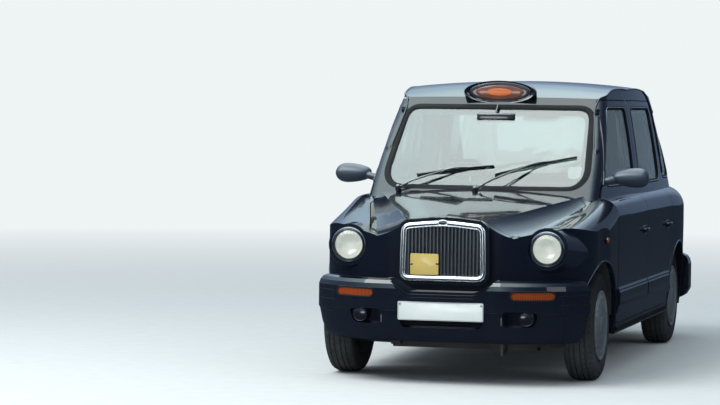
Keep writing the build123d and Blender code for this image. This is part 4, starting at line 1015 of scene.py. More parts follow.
def mirrors():
    """Mirror cases with a recessed glass and a sail plate at the window's corner."""
    for word, side in SIDES:
        body = f"front_door_{word}"
        mirror_case(word, side, body)
        pane = rounded([(side * 826, -40, 34), (side * 996, -46, 40),
                        (side * 996, 46, 40), (side * 826, 40, 34)])
        plane = ((0, -907, MIRROR_Z), LEFTWARD, UPWARD, BACKWARD)
        slab(f"mirror_recess_{word}", offset(pane, 4), plane, 2.6, "slot_dark", body, 0.5)
        slab(f"mirror_glass_{word}", pane, plane, 3.1, "mirror_glass", body, 0.8)
        neck = [(side * 748, -962, 1196), (side * 778, -958, 1204), (side * 812, -950, 1214)]
        tube(f"mirror_neck_{word}", neck, 23, "mirror_plastic", body, count=20)
        plane = seat_plane(cast(outer, word, -978, 1200), BACKWARD, -3)
        sail = [(-52, -34, 10), (44, -34, 10), (44, 84, 14)]
        slab(f"mirror_sail_{word}", rounded(sail), plane, 9, "mirror_plastic", body, 4)


WIPERS = (((-540, 1128), (-436, 1216), (58, 1280)), ((-15, 1130), (72, 1226), (566, 1342)))
WIPER_RUBBER = [(-1.5, -3), (-3, 5), (3, 5), (1.5, -3)]
WIPER_BLADE = [(-5, -2), (-5, 3), (-2, 7), (2, 7), (5, 3), (5, -2)]
WIPER_CAP = [(9, 19), (14, 14), (16, 4), (19, 0), (19, -14)]


def wipers():
    """Two wipers on the screen, parked, each with an arm, a yoke and a blade."""
    under = skin("windscreen", "scuttle", "bonnet", "front_wings")
    for index, (pivot, start, end) in enumerate(WIPERS):
        name = f"wiper_{index + 1}"
        line = [(start[0] + (end[0] - start[0]) * k / 14,
                 start[1] + (end[1] - start[1]) * k / 14 + 6 * math.sin(math.pi * k / 14)) for k in range(15)]
        path = projected(under, "front", line)
        lifted = [(p + n * 9 * MM, n) for p, n in path]
        on_glass = [(p + n * 3.5 * MM, n) for p, n in path]
        sweep(name + "_rubber", on_glass, WIPER_RUBBER, "rubber", closed=False)
        sweep(name + "_blade", lifted, WIPER_BLADE, "black_gloss", closed=False)
        for k in (1, 4, 9, 12):
            p, n = lifted[k]
            spot, half = (p + n * 2 * MM) / MM, Vector((7, 5, 7))
            block(f"{name}_clip_{k}", spot - half, spot + half, 2, "black_gloss")
        middle, n = lifted[7]
        near, far = lifted[4][0], lifted[9][0]
        foot = cast(under, "front", *pivot)[0] + Vector((0, -0.012, 0.012))
        bars = (
            ("arm", 5.5, (foot / MM, (foot * 0.7 + middle * 0.3 + n * 22 * MM) / MM,
                          (middle * 0.8 + foot * 0.2 + n * 20 * MM) / MM, (middle + n * 12 * MM) / MM)),
            ("stay", 3.5, ((foot + Vector((0.03, 0.004, 0.0))) / MM,
                           (foot * 0.6 + near * 0.4 + n * 18 * MM) / MM, (middle + n * 15 * MM) / MM)),
            ("yoke", 4, ((near + n * 7 * MM) / MM, (middle + n * 14 * MM) / MM, (far + n * 7 * MM) / MM)),
        )
        for part, radius, points in bars:
            tube(f"{name}_{part}", points, radius, "black_gloss")
        knob(name + "_cap", 20, WIPER_CAP, foot / MM, (0, -0.55, 0.83), "black_gloss")


def number_plate(end, y, z, out, thick, look, screw_y, screw_z):
    """A blank number plate with its two screws."""
    slab(f"{end}_plate", panel_line(-260, -55, 260, 55, 9), ((0, y, z), LEFTWARD, UPWARD, out), thick, look)
    for k, x in enumerate((-247, 247)):
        knob(f"{end}_plate_screw_{k}", 3.2, [(4, 3.0), (6.5, 1.2), (6.5, 0)], (x, screw_y, screw_z), out,
             "steel", count=20)


def plates():
    """The blank number plates, and the blank yellow licence plate wired to the grille."""
    number_plate("front", -2275.5, 444, FORWARD, 3.5, "plate_white", -2278.8, 484)
    edge = spaced(facing(panel_line(-256, -51, 256, 51, 7), "front"), 10)
    sweep("front_plate_border", flat_path(edge, -2279.1, FORWARD, 444), bead(1.6, 0.35, 0.3), "black_gloss")
    number_plate("rear", 2276.5, 453, BACKWARD, 4, "plate_rear", 2280.2, 493)
    plane = ((-110, -2236.5, 720), LEFTWARD, UPWARD, FORWARD)
    slab("licence_plate", panel_line(-86, -63, 86, 63, 8), plane, 3, "plate_yellow")
    for k, (x, z) in enumerate(((-190, 720), (-30, 724))):
        block(f"licence_clip_{k}", (x - 9, -2243, z - 5), (x + 9, -2234, z + 5), 2, "black_gloss")


LAMP_X, LAMP_FACE, LAMP_Z = 607.0, -2124.0, 820.0
LAMP_BOWL = [(84, -4), (78, -24), (62, -44), (38, -58), (16, -62), (CORE, -62)]
LAMP_LENS = [(88, -3), (86, 4), (72, 12), (50, 18), (25, 21.5), (CORE, 22.5), (CORE, 19.5), (25, 18.5),
             (50, 15), (72, 9), (84, 1), (85, -3)]
LAMP_RING = [(84, -3), (85, 5), (88, 8), (93, 8), (97, 4), (98, -3), (98, -12), (84, -12)]
LAMP_BEZEL = [(97, -6), (98, 2), (101, 5), (105, 4), (107, -1), (107, -14), (97, -14)]


def headlamps():
    """Headlamp units: chrome bowl, fluted lens, black ring and bright outer bezel."""
    for word, side in SIDES:
        centre = (side * LAMP_X, LAMP_FACE, LAMP_Z)
        # The bowl's material glows: a painted highlight standing in for the sky reflected in the lamp.
        lathe(f"lamp_bowl_{word}", LAMP_BOWL, centre, FORWARD, "lamp_bowl", count=72, closed=False)
        lens = lathe(f"lamp_lens_{word}", LAMP_LENS, centre, FORWARD, "fluted_glass", count=96)
        if side > 0:
            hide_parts("headlamps")
        lathe(f"lamp_ring_{word}", LAMP_RING, centre, FORWARD, "black_gloss", count=96)
        lathe(f"lamp_bezel_{word}", LAMP_BEZEL, centre, FORWARD, "chrome", count=96)


def indicators():
    """The dark rims round and across the lamps in the front bumper."""
    for word, side in SIDES:
        line = offset(panel_line(side * 424, 526, side * 661, 562, 17), 5)
        path = ring_path(bumper_skin, "front", line, 3, 8, 1)
        sweep(f"indicator_rim_{word}", path, bead(11, 2.6), "slot_dark")
        for end, a, b in (("inner", 425, 447), ("outer", 640, 660)):
            line = panel_line(side * a, 529, side * b, 559, 9)
            path = ring_path(bumper_skin, "front", line, 0, 6, 1)
            sweep(f"indicator_{end}_{word}", path, bead(7, 2.2), "slot_dark")


def bumper_groove(name, view, line, width, height, look="slot_dark", sink=1, smooth=False, fewest=3):
    """An open line laid along the front bumper, where the bumper is there to take it."""
    path = projected(bumper_skin, view, line)
    if smooth:
        path = smoothed(path, 1, False)
    if len(path) > fewest:
        sweep(name, path, bead(width, height, sink), look, closed=False)


END_SEAM = ((716, 620), (712, 560), (706, 480), (698, 400), (690, 330), (684, 290))


def bumper_details():
    """Seams, side grooves drawn as dark strips of painted shade, blanked fog lamps, tow tabs and the lower
    intake of the front bumper.
    """
    seam = [(x, 442) for x in steps(-690, 690, 80)]
    for word, side in SIDES:
        for k, (near, far) in enumerate(((268, 350), (600, 690))):
            part = [p for p in seam if near <= p[0] * side <= far]
            bumper_groove(f"bumper_seam_{word}_{k}", "front", part, 2.4, 0.35, fewest=2)
    for word, side in SIDES:
        line = spaced([(side * x, z) for x, z in END_SEAM], 14, False)
        bumper_groove(f"bumper_end_seam_{word}", "front", line, 3, 0.5, smooth=True)
        # The side grooves are raised dark strips: painted shade standing in for the shade inside real
        # grooves.
        for z in (418, 490, 545):
            line = [(y, z) for y in steps(-2130, -1960, 12)]
            bumper_groove(f"bumper_groove_{z}_{word}", word, line, 5, 0.6)
        blank = [(34, 6), (40, 3), (43, 4), (46, 2), (47, -10)]
        knob(f"fog_blank_{word}", 6, blank, (side * 507, -2214, 412), (side * 0.12, -1, 0), "black_gloss",
             count=48)
        block(f"tow_tab_{word}", (side * 365 - 4, -2262, 368), (side * 365 + 4, -2214, 430), 3, "steel")
    lip = rounded([(-250, 346, 36), (250, 346, 36), (258, 402, 10), (-258, 402, 10)], 8)
    lower = sorted((p for p in lip if p[1] < 392), key=lambda p: p[0])
    bumper_groove("intake_lip", "front", spaced(lower, 16, False), 7, 3, "paint", 1.5, True)
    for k in range(4):
        z = 352 + k * 12
        block(f"intake_bar_{k}", (-236, -2226, z), (236, -2218, z + 4), 1.5, "slot_dark")


GRILLE_BARS, GRILLE_HALF, BOSS_Z = 20, 232.0, 968
GRILLE_RING = [(-13, -1), (-12, 2.4), (-7, 4.8), (0, 5.6), (7, 4.8), (12, 2.4), (13, -1)]


def grille_details():
    """Rounded noses on the bars, the bright ring and the blank boss with its rim."""
    line = rounded([(-247, 637, 38), (247, 637, 38), (239, 947, 38), (0, 970, 900), (-239, 947, 38)])
    sweep("grille_ring", flat_path(spaced(line, 9), -2230.5, FORWARD), GRILLE_RING, "chrome")
    for index in range(GRILLE_BARS):
        x = -GRILLE_HALF + (index + 1) * 2 * GRILLE_HALF / (GRILLE_BARS + 1)
        block(f"grille_bar_{index:02d}", (x - 4, -2229, 655), (x + 4, -2218, 948), 3.5, "bar_paint",
              segments=2)
    sweep("boss_rim", flat_path(oval(31, 16, 40), -2239.4, FORWARD, BOSS_Z), bead(3.5, 1.4, 1), "chrome")
    plane = ((0, -2239.2, BOSS_Z), LEFTWARD, UPWARD, FORWARD)
    slab("boss_face", oval(27, 12, 36), plane, 1.2, "black_gloss", edge=0.5, crown=1.0)


# Each ring of the sign's pod: how far back it is, and its size
SIGN_STATIONS = [(18, 0.86), (8, 0.90), (1, 0.95), (0, 0.985), (8, 1.0), (50, 1.0), (90, 0.97), (130, 0.89),
                 (160, 0.78), (175, 0.55), (178, 0.1)]
SIGN_LAYERS = (("backing", 200, 61, 19, 4, "sign_dark", 3), ("lens", 158, 44, 14, 3, "sign_face", 4),
               ("glow", 84, 24, 8, 2, "sign_lamp", 2))


def roof_sign():
    """The blank sign: an oval gloss pod on the roof with a dark amber lens and a rim."""
    low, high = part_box("roof_sign")
    front, mid = low[1] / MM + 1, (low[2] + high[2]) / 2 / MM
    points = []
    for back, scale in SIGN_STATIONS:
        for a, b in oval(236 * scale, 74 * scale):
            y, z = front + back, mid + b
            hit = cast(outer, "top", a, y) if back > 8 and b < 0 else None
            if hit and z < hit[0].z / MM + 45:
                z = hit[0].z / MM - 4
            points.append((a * MM, y * MM, z * MM))
    pod = mesh_piece("sign_pod", points, bands(len(SIGN_STATIONS), 72, caps=True), "black_gloss", "body", 50)
    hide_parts("roof_sign")
    for name, wide, tall, back, thick, look, crown in SIGN_LAYERS:
        plane = ((0, front + back, mid), LEFTWARD, UPWARD, FORWARD)
        slab(f"sign_{name}", oval(wide, tall), plane, thick, look, crown=crown)


WHEEL_COUNT = 192
# The rim and its trim: radius and place along the axle; the tyre's wall and tread: place and radius
RIM = [
    (206, -84), (214, -84), (215, -79), (203, -78), (199, -62), (190, -52), (176, -40), (172, 10), (184, 40),
    (198, 58), (203, 78), (215, 79), (214, 84), (204, 84), (196, 76), (188, 60), (176, 44), (120, 34),
    (60, 30), (22, 30), (22, -8), (78, -8), (92, 20), (164, 20), (168, -40), (184, -56), (194, -70),
]
TYRE_WALL = [
    (80, 204), (81, 212), (84, 220), (88, 232), (90.5, 240), (91.5, 248), (91.2, 252), (92.4, 256),
    (92.4, 268), (91.8, 282), (90.4, 284), (90.0, 292), (87.5, 304), (84, 312), (80.5, 318),
]
TREAD = [
    (77, 321.5), (70, 326), (60, 330), (52, 332.5), (50.6, 326), (45.4, 326), (44, 333.2), (34, 334),
    (22, 334.3), (20.8, 326.6), (15.2, 326.6), (14, 334.45), (6, 334.5), (0, 334.5),
]
TRIM = [
    (213, 86), (213, 92), (208, 94.5), (202, 93.5), (197, 90), (193, 89), (186, 90.5), (172, 93), (166, 93.5),
    (160, 91), (150, 89.5), (120, 92), (88, 95.5), (70, 96.5), (64, 94), (58, 94), (54, 97), (30, 99.5),
    (1, 100.5),
]
TRIM_SLOT_ROWS, TRIM_SLOT_DEPTH = (6, 7), 7.0
EDGE_CUT, RIB_CUT = 6.5, 5.0


def wheels():
    """Tyres with tread, steel rims and silver trims with slots round the edge."""
    for end, y in AXLES:
        for word, side in SIDES:
            corner, centre = f"{end}_{word}", (side * HALF_TRACK, y, TYRE_RADIUS)
            body = f"wheel_{corner}"
            tyre = tyre_piece(corner, centre, side, body)
            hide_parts(f"tyre_{corner}")
            rim = lathe(f"rim_{corner}", RIM, centre, (side, 0, 0), "rim_paint", body)
            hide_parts(body)
            trim_piece(corner, centre, side, body)
            valve = [(side * (HALF_TRACK + 72), y + 178 * side, TYRE_RADIUS + 60),
                     (side * (HALF_TRACK + 92), y + 176 * side, TYRE_RADIUS + 58)]
            tube(f"valve_{corner}", valve, 4, "rubber", body)


def turned_point(centre, side, across, radius, turn):
    """A point round a wheel's axle, in metres."""
    return ((centre[0] + side * across) * MM, (centre[1] + radius * math.cos(turn)) * MM,
            (centre[2] + radius * math.sin(turn)) * MM)


def tread_cut(i, x, r):
    """How far a cross cut lowers a point of the tread: the edges in turn, the ribs between them."""
    if abs(x) > 52 and r > 318:
        return EDGE_CUT if i % 4 == (2 if x > 0 else 0) else 0.0
    return RIB_CUT if abs(x) > 21 and r > 330 and i % 4 == 3 else 0.0


def tyre_piece(name, centre, side, body):
    """A carcass with ribs, grooves and cross cuts in the tread."""
    half = TYRE_WALL + TREAD
    full = half + [(-x, r) for x, r in half[-2::-1]]
    points = []
    for i in range(WHEEL_COUNT):
        turn = 2 * math.pi * i / WHEEL_COUNT
        points += [turned_point(centre, side, x, r - tread_cut(i, x, r), turn) for x, r in full]
    faces = bands(WHEEL_COUNT, len(full), True, turned=True)
    return mesh_piece(f"tread_tyre_{name}", points, faces, "tyre", body, 28)


def trim_piece(name, centre, side, body):
    """A domed trim: slots round the rim, a raised ring, and a blank centre cap."""
    points, marks, size = [], [], len(TRIM)
    for i in range(WHEEL_COUNT):
        turn = 2 * math.pi * i / WHEEL_COUNT
        for k, (r, h) in enumerate(TRIM):
            deep = TRIM_SLOT_DEPTH if k in TRIM_SLOT_ROWS and i % 8 < 5 else 0.0
            points.append(turned_point(centre, side, h - deep, r, turn))
        marks += [1 if k == TRIM_SLOT_ROWS[0] and i % 8 < 4 else 0 for k in range(size - 1)]
    faces = bands(WHEEL_COUNT, size, True, False, turned=True)
    faces.append(tuple(i * size + size - 1 for i in range(WHEEL_COUNT)))
    mesh_piece(f"wheel_trim_{name}", points, faces, ["wheel_silver", "slot_dark"], body, 32, marks + [0])


def rear_details():
    """The boot's handle, lights and lock, the tail lamps' rims, the high lamp, fuel flap and exhaust tip."""
    path = projected(outer, "back", [(x, 700) for x in steps(-190, 190, 16)])
    sweep("boot_handle", smoothed(path, 1, False), bead(34, 16), "black_gloss", "boot_lid", False)
    for word, side in SIDES:
        place, normal = cast(outer, "back", side * 120, 676)
        knob(f"plate_light_{word}", 6, [(10, 5), (13, 0), (13, -4)], place / MM, normal, "clear_glass",
             "boot_lid", 24)
        line = rounded([(side * 585, 690, 30), (side * 720, 690, 30),
                        (side * 690, 925, 30), (side * 575, 925, 30)])
        sweep(f"tail_rim_{word}", ring_path(tail_skin, "back", line, -6, 9, 1), bead(7, 2.5), "black_gloss")
        for z in (770, 850):
            hits = projected(tail_skin, "back", [(side * x, z) for x in steps(588, 700, 10)])
            if len(hits) > 3:
                sweep(f"tail_divider_{z}_{word}", hits, bead(5, 1.5), "slot_dark", closed=False)
    place, normal = cast(outer, "back", 0, 760)
    knob("boot_lock", 5, [(11, 5), (14, 2), (14, -3)], place / MM, normal, "chrome", "boot_lid")
    y = cast(outer, "back", 0, 1650)[0].y / MM
    block("high_lamp_case", (-120, y - 30, 1636), (120, y + 16, 1668), 8, "black_gloss")
    block("high_lamp_lens", (-108, y + 6, 1641), (108, y + 19, 1663), 4, "red_lens")
    flap = rounded([(1470, 880, 26), (1610, 880, 26), (1590, 1010, 26), (1470, 1010, 26)])
    sweep("fuel_flap_line", ring_path(outer, "left", flap, 0, 9, 1), bead(3, 0.5), "slot_dark")
    lathe("exhaust_tip", [(24, -60), (27, -60), (30, 0), (30, 22), (27, 23), (26, 0), (24, -20)],
          (-240, 2180, 224), (-0.14, 1, -0.2), "steel", count=40)


windows()
interior_mirror()
side_mouldings()
drip_rails()
arch_lips()
door_handles()
repeaters()
mirrors()
wipers()
plates()
headlamps()
indicators()
bumper_details()
grille_details()
roof_sign()
wheels()
rear_details()

# Inside

FLOOR, DRIVER = 400.0, -370.0
CHANNEL_HALF, CHANNEL_DEPTH, FILL = 16, 4.5, 0.8


def cushion(name, low, high, radius, turn=None, channels=(), crown=9.0, look="seat_cloth"):
    """A crowned closed cushion: subdivided, swollen in the middle of its faces, with sewn channels."""
    shape = bmesh.new()
    bmesh.ops.create_cube(shape, size=1.0)
    size, middle = Vector(high) - Vector(low), (Vector(high) + Vector(low)) / 2
    bmesh.ops.scale(shape, vec=size - Vector((crown, crown, crown)), verts=shape.verts)
    bmesh.ops.bevel(shape, geom=shape.edges[:], offset=min(radius, min(size) * 0.42), segments=3,
                    affect="EDGES")
    bmesh.ops.triangulate(shape, faces=[f for f in shape.faces if len(f.verts) > 4])
    bmesh.ops.subdivide_edges(shape, edges=[e for e in shape.edges if e.calc_length() > 60], cuts=9,
                              use_grid_fill=True)
    thin = min(range(3), key=lambda i: size[i])
    for v in shape.verts:
        u = [2 * v.co[k] / size[k] for k in range(3)]
        for k in range(3):
            a, b = u[(k + 1) % 3], u[(k + 2) % 3]
            swell = max(0.0, 1 - a * a) * max(0.0, 1 - b * b)
            v.co[k] += math.copysign(min(1.0, abs(u[k])) ** 3, u[k]) * crown * 0.5 * swell
        for place in channels:
            away = abs(v.co[0] - place)
            if away < CHANNEL_HALF and abs(u[0]) < 0.97:
                v.co[thin] -= math.copysign(CHANNEL_DEPTH * (1 - away / CHANNEL_HALF) ** 0.6, v.co[thin])
    matrix = turn.to_matrix().to_4x4() if turn else Matrix.Identity(4)
    points = [(middle + matrix @ v.co) * MM for v in shape.verts]
    faces = [tuple(v.index for v in f.verts) for f in shape.faces]
    shape.free()
    made = mesh_piece(name, points, faces, look, "body", 180)
    made.modifiers.new("round", "SUBSURF").render_levels = 1
    return made


def piping(name, low, high, radius, plane_axis, place, turn=None):
    """A sewn welt round a cushion at one height."""
    a, b = [k for k in range(3) if k != plane_axis]
    middle = (Vector(high) + Vector(low)) / 2
    half = (Vector(high) - Vector(low)) / 2
    matrix = turn.to_matrix() if turn else Matrix.Identity(3)
    points = []
    for u, v in spaced(panel_line(-half[a] + 1, -half[b] + 1, half[a] - 1, half[b] - 1, radius), 24):
        p = Vector((0, 0, 0))
        p[a], p[b], p[plane_axis] = u, v, place
        points.append(middle + matrix @ p)
    tube(name, points, 3.2, "trim_dark", closed=True, count=6, pieces=1)


def welted(name, low, high, radius, welt_axis, welt_place, turn=None, channels=(), crown=9.0):
    """A cushion with its welt."""
    made = cushion(name, low, high, radius, turn, channels, crown)
    piping(name + "_welt", low, high, radius, welt_axis, welt_place, turn)
    return made


def driver_seat():
    """The driver's cushion, back and head rest on a plinth with rails and a recline knob."""
    tilt = Euler((math.radians(-9), 0, 0))
    x = DRIVER
    base = welted("driver_cushion", (x - 243, -636, 545), (x + 243, -152, 668), 42, 2, 44,
                  channels=(-150, 150))
    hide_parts("driver_seat")
    welted("driver_back", (x - 233, -177, 622), (x + 233, -84, 1178), 42, 1, -28, tilt, (-140, 140))
    cushion("driver_head_rest", (x - 128, -135, 1162), (x + 128, -62, 1308), 32, tilt, crown=7)
    for letter, side in (("a", -1), ("b", 1)):
        post, rail = x + side * 55, x + side * 150
        tube(f"head_rest_post_{letter}", [(post, -122, 1120), (post, -108, 1200)], 6, "steel")
        block(f"seat_rail_{letter}", (rail - 18, -600, FLOOR), (rail + 18, -200, FLOOR + 26), 4, "steel")
    block("driver_plinth", (x - 188, -588, FLOOR), (x + 188, -212, 548), 12, "trim_dark")
    knob("recline_knob", 26, [(24, 25), (30, 18), (31, 0)], (x + 232, -190, 640), LEFTWARD, "trim_dark",
         count=32)


def rear_seats():
    """The bench with its buckles, and the two tip-up seats on the partition."""
    tilt = Euler((math.radians(-10), 0, 0))
    base = welted("bench_cushion", (-570, 862, 612), (570, 1344, 768), 34, 2, 52, channels=(-190, 190),
                  crown=12)
    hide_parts("rear_bench")
    welted("bench_back", (-568, 1340, 734), (568, 1444, 1122), 32, 1, -34, tilt, (-190, 190), 12)
    for k, x in enumerate((-380, 0, 380)):
        block(f"bench_buckle_{k}", (x + 92, 1322, 764), (x + 122, 1340, 812), 6, "black_gloss")
    y = -23.4
    for k, x in enumerate((-300, 300)):
        back = cushion(f"tip_up_back_{k}", (x - 200, y, 704), (x + 200, y + 58, 1016), 28,
                       channels=(-90, 90), crown=7)
        cushion(f"tip_up_base_{k}", (x - 210, y, 424), (x + 210, y + 92, 686), 28,
                channels=(-90, 90), crown=8)
        if k == 0:
            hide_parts("tip_up_seats")
        tube(f"tip_up_hinge_{k}", [(x - 208, y + 30, 696), (x + 208, y + 30, 696)], 9, "steel")


def partition_details():
    """The pane's seals, the money tray, the intercom and two grab rails."""
    line = rounded([(-600, 1030, 40), (600, 1030, 40), (520, 1610, 40), (-520, 1610, 40)])
    for name, view, y, out in (("front", "front", -46.5, FORWARD), ("rear", "back", -23.5, BACKWARD)):
        path = flat_path(spaced(facing(line, view), 16), y, out)
        sweep(f"partition_seal_{name}", path, bead(16, 4), "rubber")
    block("money_tray", (-180, -60, 1000), (60, -22, 1026), 6, "trim_dark")
    knob("intercom", 6, [(30, 6), (36, 2), (36, 0)], (330, -23, 1640), BACKWARD, "trim_dark", count=36)
    for name, x in (("", -430), ("_b", 470)):
        tube("grab_rail_partition" + name, [(x, -20, 1000), (x, 14, 1003), (x, 14, 1190), (x, -20, 1193)], 9,
             "plate_yellow", pieces=8)


DIAL_Z, DIAL_TICKS = 1068, 9


def dials():
    """Three dials under a hood, each with a needle and ticks."""
    block("cluster_hood", (DRIVER - 178, -905, 1070), (DRIVER + 178, -792, 1128), 18, "dash_plastic")
    half = Vector((1.4, 0.5, 1.4))
    for k, (dx, r) in enumerate(((-92, 40), (0, 46), (92, 40))):
        x = DRIVER + dx
        rows = [(r - 3, 0.6), (r - 2, 3), (r, 3.4), (r + 2, 2), (r + 2, 0)]
        knob(f"dial_{k}", 0.6, rows, (x, -789.5, DIAL_Z), BACKWARD, "black_gloss", count=48)
        block(f"needle_{k}", (x - 1.5, -788.8, DIAL_Z), (x + 1.5, -787.2, DIAL_Z + r - 8), 0.7, "disc_pale")
        for t in range(DIAL_TICKS):
            a = math.radians(-130 + t * 32.5)
            p = Vector((x + (r - 8) * math.sin(a), -788.6, DIAL_Z + (r - 8) * math.cos(a)))
            block(f"tick_{k}_{t}", p - half, p + half, 0.4, "disc_pale")


def controls():
    """Pedals, gear lever, handbrake and column stalks."""
    x = DRIVER
    for dx, name in ((-60, "clutch"), (20, "brake"), (95, "accelerator")):
        px = x + dx
        tube(f"pedal_arm_{name}", [(px, -1000, 640), (px, -985, 560), (px, -955, 490)], 7, "steel")
        block(f"pedal_{name}", (px - 26, -962, 455), (px + 26, -944, 525), 5, "rubber")
    tube("gear_lever", [(-120, -700, FLOOR), (-120, -690, 560), (-122, -680, 640)], 7, "steel")
    lathe("gear_knob", [(CORE, 30), (16, 27), (22, 12), (17, -8), (10, -18), (CORE, -20)], (-122, -680, 656),
          (0, 0.1, 1), "black_gloss", count=32)
    cushion("gear_gaiter", (-180, -760, FLOOR + 2), (-60, -640, FLOOR + 74), 30, crown=6, look="rubber")
    tube("hand_brake", [(-160, -420, 430), (-160, -500, 470), (-160, -590, 540)], 9, "black_gloss")
    for word, side in SIDES:
        stalk = [(x + side * 34, -730, 985), (x + side * 100, -722, 1000), (x + side * 165, -716, 1008)]
        tube(f"column_stalk_{word}", stalk, 6, "black_gloss")


def dashboard_details():
    """Vents with slats, the radio, the fare meter and the glove box lid."""
    for k, (x, z) in enumerate(((-80, 1000), (60, 1000), (560, 980), (-650, 980))):
        block(f"vent_{k}", (x - 52, -808, z - 26), (x + 52, -796, z + 26), 7, "slot_dark")
        for t in range(4):
            up = z - 18 + t * 12
            block(f"vent_{k}_slat_{t}", (x - 46, -800, up - 2), (x + 46, -792, up + 2), 1.4, "trim_dark")
    block("radio", (-100, -812, 905), (84, -794, 958), 4, "black_gloss")
    for k, x in enumerate((-78, 62)):
        knob(f"radio_knob_{k}", 14, [(9, 14), (11, 11), (11, 0)], (x, -794, 931), BACKWARD, "trim_dark")
    block("fare_meter", (20, -840, 1098), (190, -770, 1150), 8, "trim_dark")
    block("fare_meter_face", (32, -771, 1108), (178, -768.5, 1140), 2, "black_gloss")
    block("glove_lid", (330, -806, 886), (640, -797, 985), 10, "dash_plastic")


RIM_RADIUS = 195
# Points of a spoke: radius and height over the rim
SPOKES = ((40, -6), (110, -7), (186, 0))


def steering_wheel():
    """A leather rim with spokes, a padded hub and a blank horn push, on the wheel's own body."""
    body = "steering_wheel"
    centre, axis = Vector((DRIVER, -655.0, 1020.0)), Vector((0, 1, 0.5)).normalized()
    right = Vector(LEFTWARD)
    up = axis.cross(right).normalized()

    def at(radius, turn, height):
        return (centre + right * (radius * math.cos(turn)) + up * (radius * math.sin(turn))
                + axis * (height + 14))

    ring = [at(RIM_RADIUS, 2 * math.pi * k / 36, 0) for k in range(36)]
    rim = tube("steering_rim", ring, 14.5, "rim_leather", body, True, 14, 2)
    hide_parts("steering_wheel")
    hub = centre + axis * 12
    knob("steering_hub", 14, [(30, 12), (50, 6), (60, -4), (56, -20), (44, -24)], hub, axis, "dash_plastic",
         body, 48)
    knob("horn_push", 20, [(20, 18.5), (26, 14), (27, 8)], hub, axis, "black_gloss", body, 40)
    for k, angle in enumerate((0, 180, 270)):
        points = [at(radius, math.radians(angle), height) for radius, height in SPOKES]
        tube(f"steering_spoke_{k}", points, 10, "dash_plastic", body, count=14)


def door_card(body, side, y0, y1, release_y):
    """Trim pad, cloth insert, pull and release on the inner face of one door."""
    middle = (y0 + y1) / 2
    hit = skin(body).ray_cast(Vector((0, middle * MM, 0.85)), Vector((side, 0, 0)))[0]
    x = abs(hit.x) / MM
    plane = ((side * (x + 6), 0, 0), BACKWARD, UPWARD, (-side, 0, 0))
    slab(f"door_card_{body}", panel_line(y0, 470, y1, 1080, 40), plane, 9, "door_trim", body, 4)
    insert = panel_line(y0 + 50, 700, y1 - 50, 1000, 26)
    slab(f"door_insert_{body}", insert, plane, 13, "seat_cloth", body, 5, 2)
    near, far = sorted((side * (x - 34), side * (x - 2)))
    block(f"door_pull_{body}", (near, middle - 120, 800), (far, middle + 120, 838), 14, "trim_dark", body)
    knob(f"door_release_{body}", 10, [(14, 9), (18, 4), (18, 0)], (side * (x - 3), release_y, 930),
         (-side, 0, 0), "chrome", body)


def door_cards():
    for word, side in SIDES:
        door_card(f"front_door_{word}", side, -900, -110, -750)
        door_card(f"rear_door_{word}", side, 70, 820, 730)


MATS = (
    (-690, -60, -1010, -620, "mat_rubber"),
    (-30, 690, -1010, -80, "mat_rubber"),
    (-700, 700, 60, 835, "carpet"),
)


def soft_trim():
    """Mats, carpets, sun visors and a roof lamp."""
    for k, (x0, x1, y0, y1, look) in enumerate(MATS):
        block(f"floor_mat_{k}", (x0, y0, FLOOR - 1), (x1, y1, FLOOR + 8), 3, look)
    for k, x in enumerate((-360, 360)):
        cushion(f"sun_visor_{k}", (x - 200, -655, 1652), (x + 200, -520, 1674), 10,
                Euler((math.radians(16), 0, 0)), crown=4, look="visor_cloth")
    roof = skin("roof_panel").ray_cast(Vector((0, 0.4, 1.2)), Vector(UPWARD))[0]
    knob("roof_lamp", 16, [(50, 13), (66, 4), (70, 0)], roof / MM, (0, 0, -1), "bottle_plastic", count=48)
    block("rear_carpet", (-560, 1530, 609), (560, 2010, 616), 3, "carpet")
    block("shelf_carpet", (-600, 1440, 1166), (600, 1700, 1171), 2, "carpet")


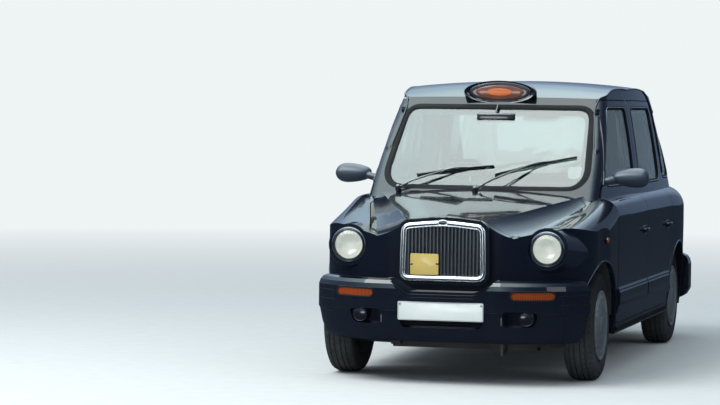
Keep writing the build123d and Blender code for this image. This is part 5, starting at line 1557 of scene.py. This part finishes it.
def engine_top():
    """The rocker cover, oil cap, air cleaner with its duct, and the manifold's pipes."""
    block("rocker_cover", (-95, -1790, 872), (95, -1190, 906), 14, "engine_top")
    for k in range(7):
        y = -1740 + k * 82
        block(f"rocker_rib_{k}", (-70, y, 902), (70, y + 14, 911), 3, "engine_top")
    knob("oil_cap", 26, [(24, 25), (30, 20), (31, 0)], (30, -1240, 904), UPWARD, "trim_dark", count=32)
    cleaner = [(96, 50), (112, 42), (118, 34), (112, 30), (112, 8), (118, 4), (112, 0)]
    knob("air_cleaner", 52, cleaner, (-215, -1330, 872), UPWARD, "trim_dark", count=72)
    knob("air_cleaner_nut", 14, [(9, 13), (14, 6), (14, 0)], (-215, -1330, 922), UPWARD, "steel", count=6,
         sharp=20)
    duct = [(-215, -1440, 896), (-230, -1560, 890), (-300, -1700, 850), (-330, -1900, 800)]
    tube("air_duct", duct, 34, "trim_dark", count=18)
    for k in range(4):
        y = -1690 + k * 128
        pipe = [(90, y, 880), (150, y, 892), (215, y - 6, 884), (246, y - 8, 850)]
        tube(f"manifold_{k}", pipe, 19, "engine_top", count=16)


def cooling():
    """The radiator with its tank, fins and cap, and the top hose."""
    block("radiator", (-232, -2075, 640), (232, -2030, 905), 8, "trim_dark")
    block("radiator_tank", (-236, -2080, 900), (236, -2025, 934), 14, "black_gloss")
    for k in range(30):
        x = -222 + k * 15.3
        block(f"radiator_fin_{k:02d}", (x, -2032, 650), (x + 5, -2026, 898), 1.5, "steel", segments=1)
    knob("radiator_cap", 20, [(20, 19), (26, 15), (26, 0)], (150, -2052, 932), UPWARD, "steel")
    hose = [(-120, -2026, 905), (-120, -1960, 912), (-60, -1880, 905), (-40, -1800, 880)]
    tube("top_hose", hose, 22, "rubber", count=18)


def bay_fittings():
    """The bay's closing panels, the battery on its tray, the washer bottle and the brake servo."""
    for word, side in SIDES:
        near, far = sorted((side * 490, side * 724))
        block(f"bay_side_{word}", (near, -1064, 560), (far, -1052, 1000), 4, "trim_dark")
    block("battery_tray", (292, -1290, 770), (470, -1056, 786), 5, "trim_dark")
    block("battery", (300, -1280, 785), (460, -1066, 925), 8, "black_gloss")
    block("battery_lid", (296, -1284, 918), (464, -1062, 940), 6, "trim_dark")
    y = -1260
    for k, x in enumerate((330, 430)):
        knob(f"battery_post_{k}", 16, [(9, 15), (11, 0)], (x, y, 938), UPWARD, "steel", count=20)
        lead = [(x, y, 946), (x, y - 40, 950), (x - 40, y - 110, 900), (x - 90, y - 150, 830)]
        tube(f"battery_lead_{k}", lead, 8, "rubber")
    block("washer_bottle", (-470, -1270, 740), (-330, -1066, 930), 22, "bottle_plastic")
    knob("washer_cap", 24, [(26, 23), (32, 18), (32, 0)], (-400, -1150, 928), UPWARD, "trim_dark")
    servo = [(60, 82), (104, 62), (116, 40), (116, 30), (104, 8), (70, 0)]
    knob("brake_servo", 86, servo, (-370, -1140, 700), FORWARD, "black_gloss", count=56)


engine_top()
cooling()
bay_fittings()
driver_seat()
rear_seats()
partition_details()
dials()
controls()
dashboard_details()
steering_wheel()
door_cards()
soft_trim()
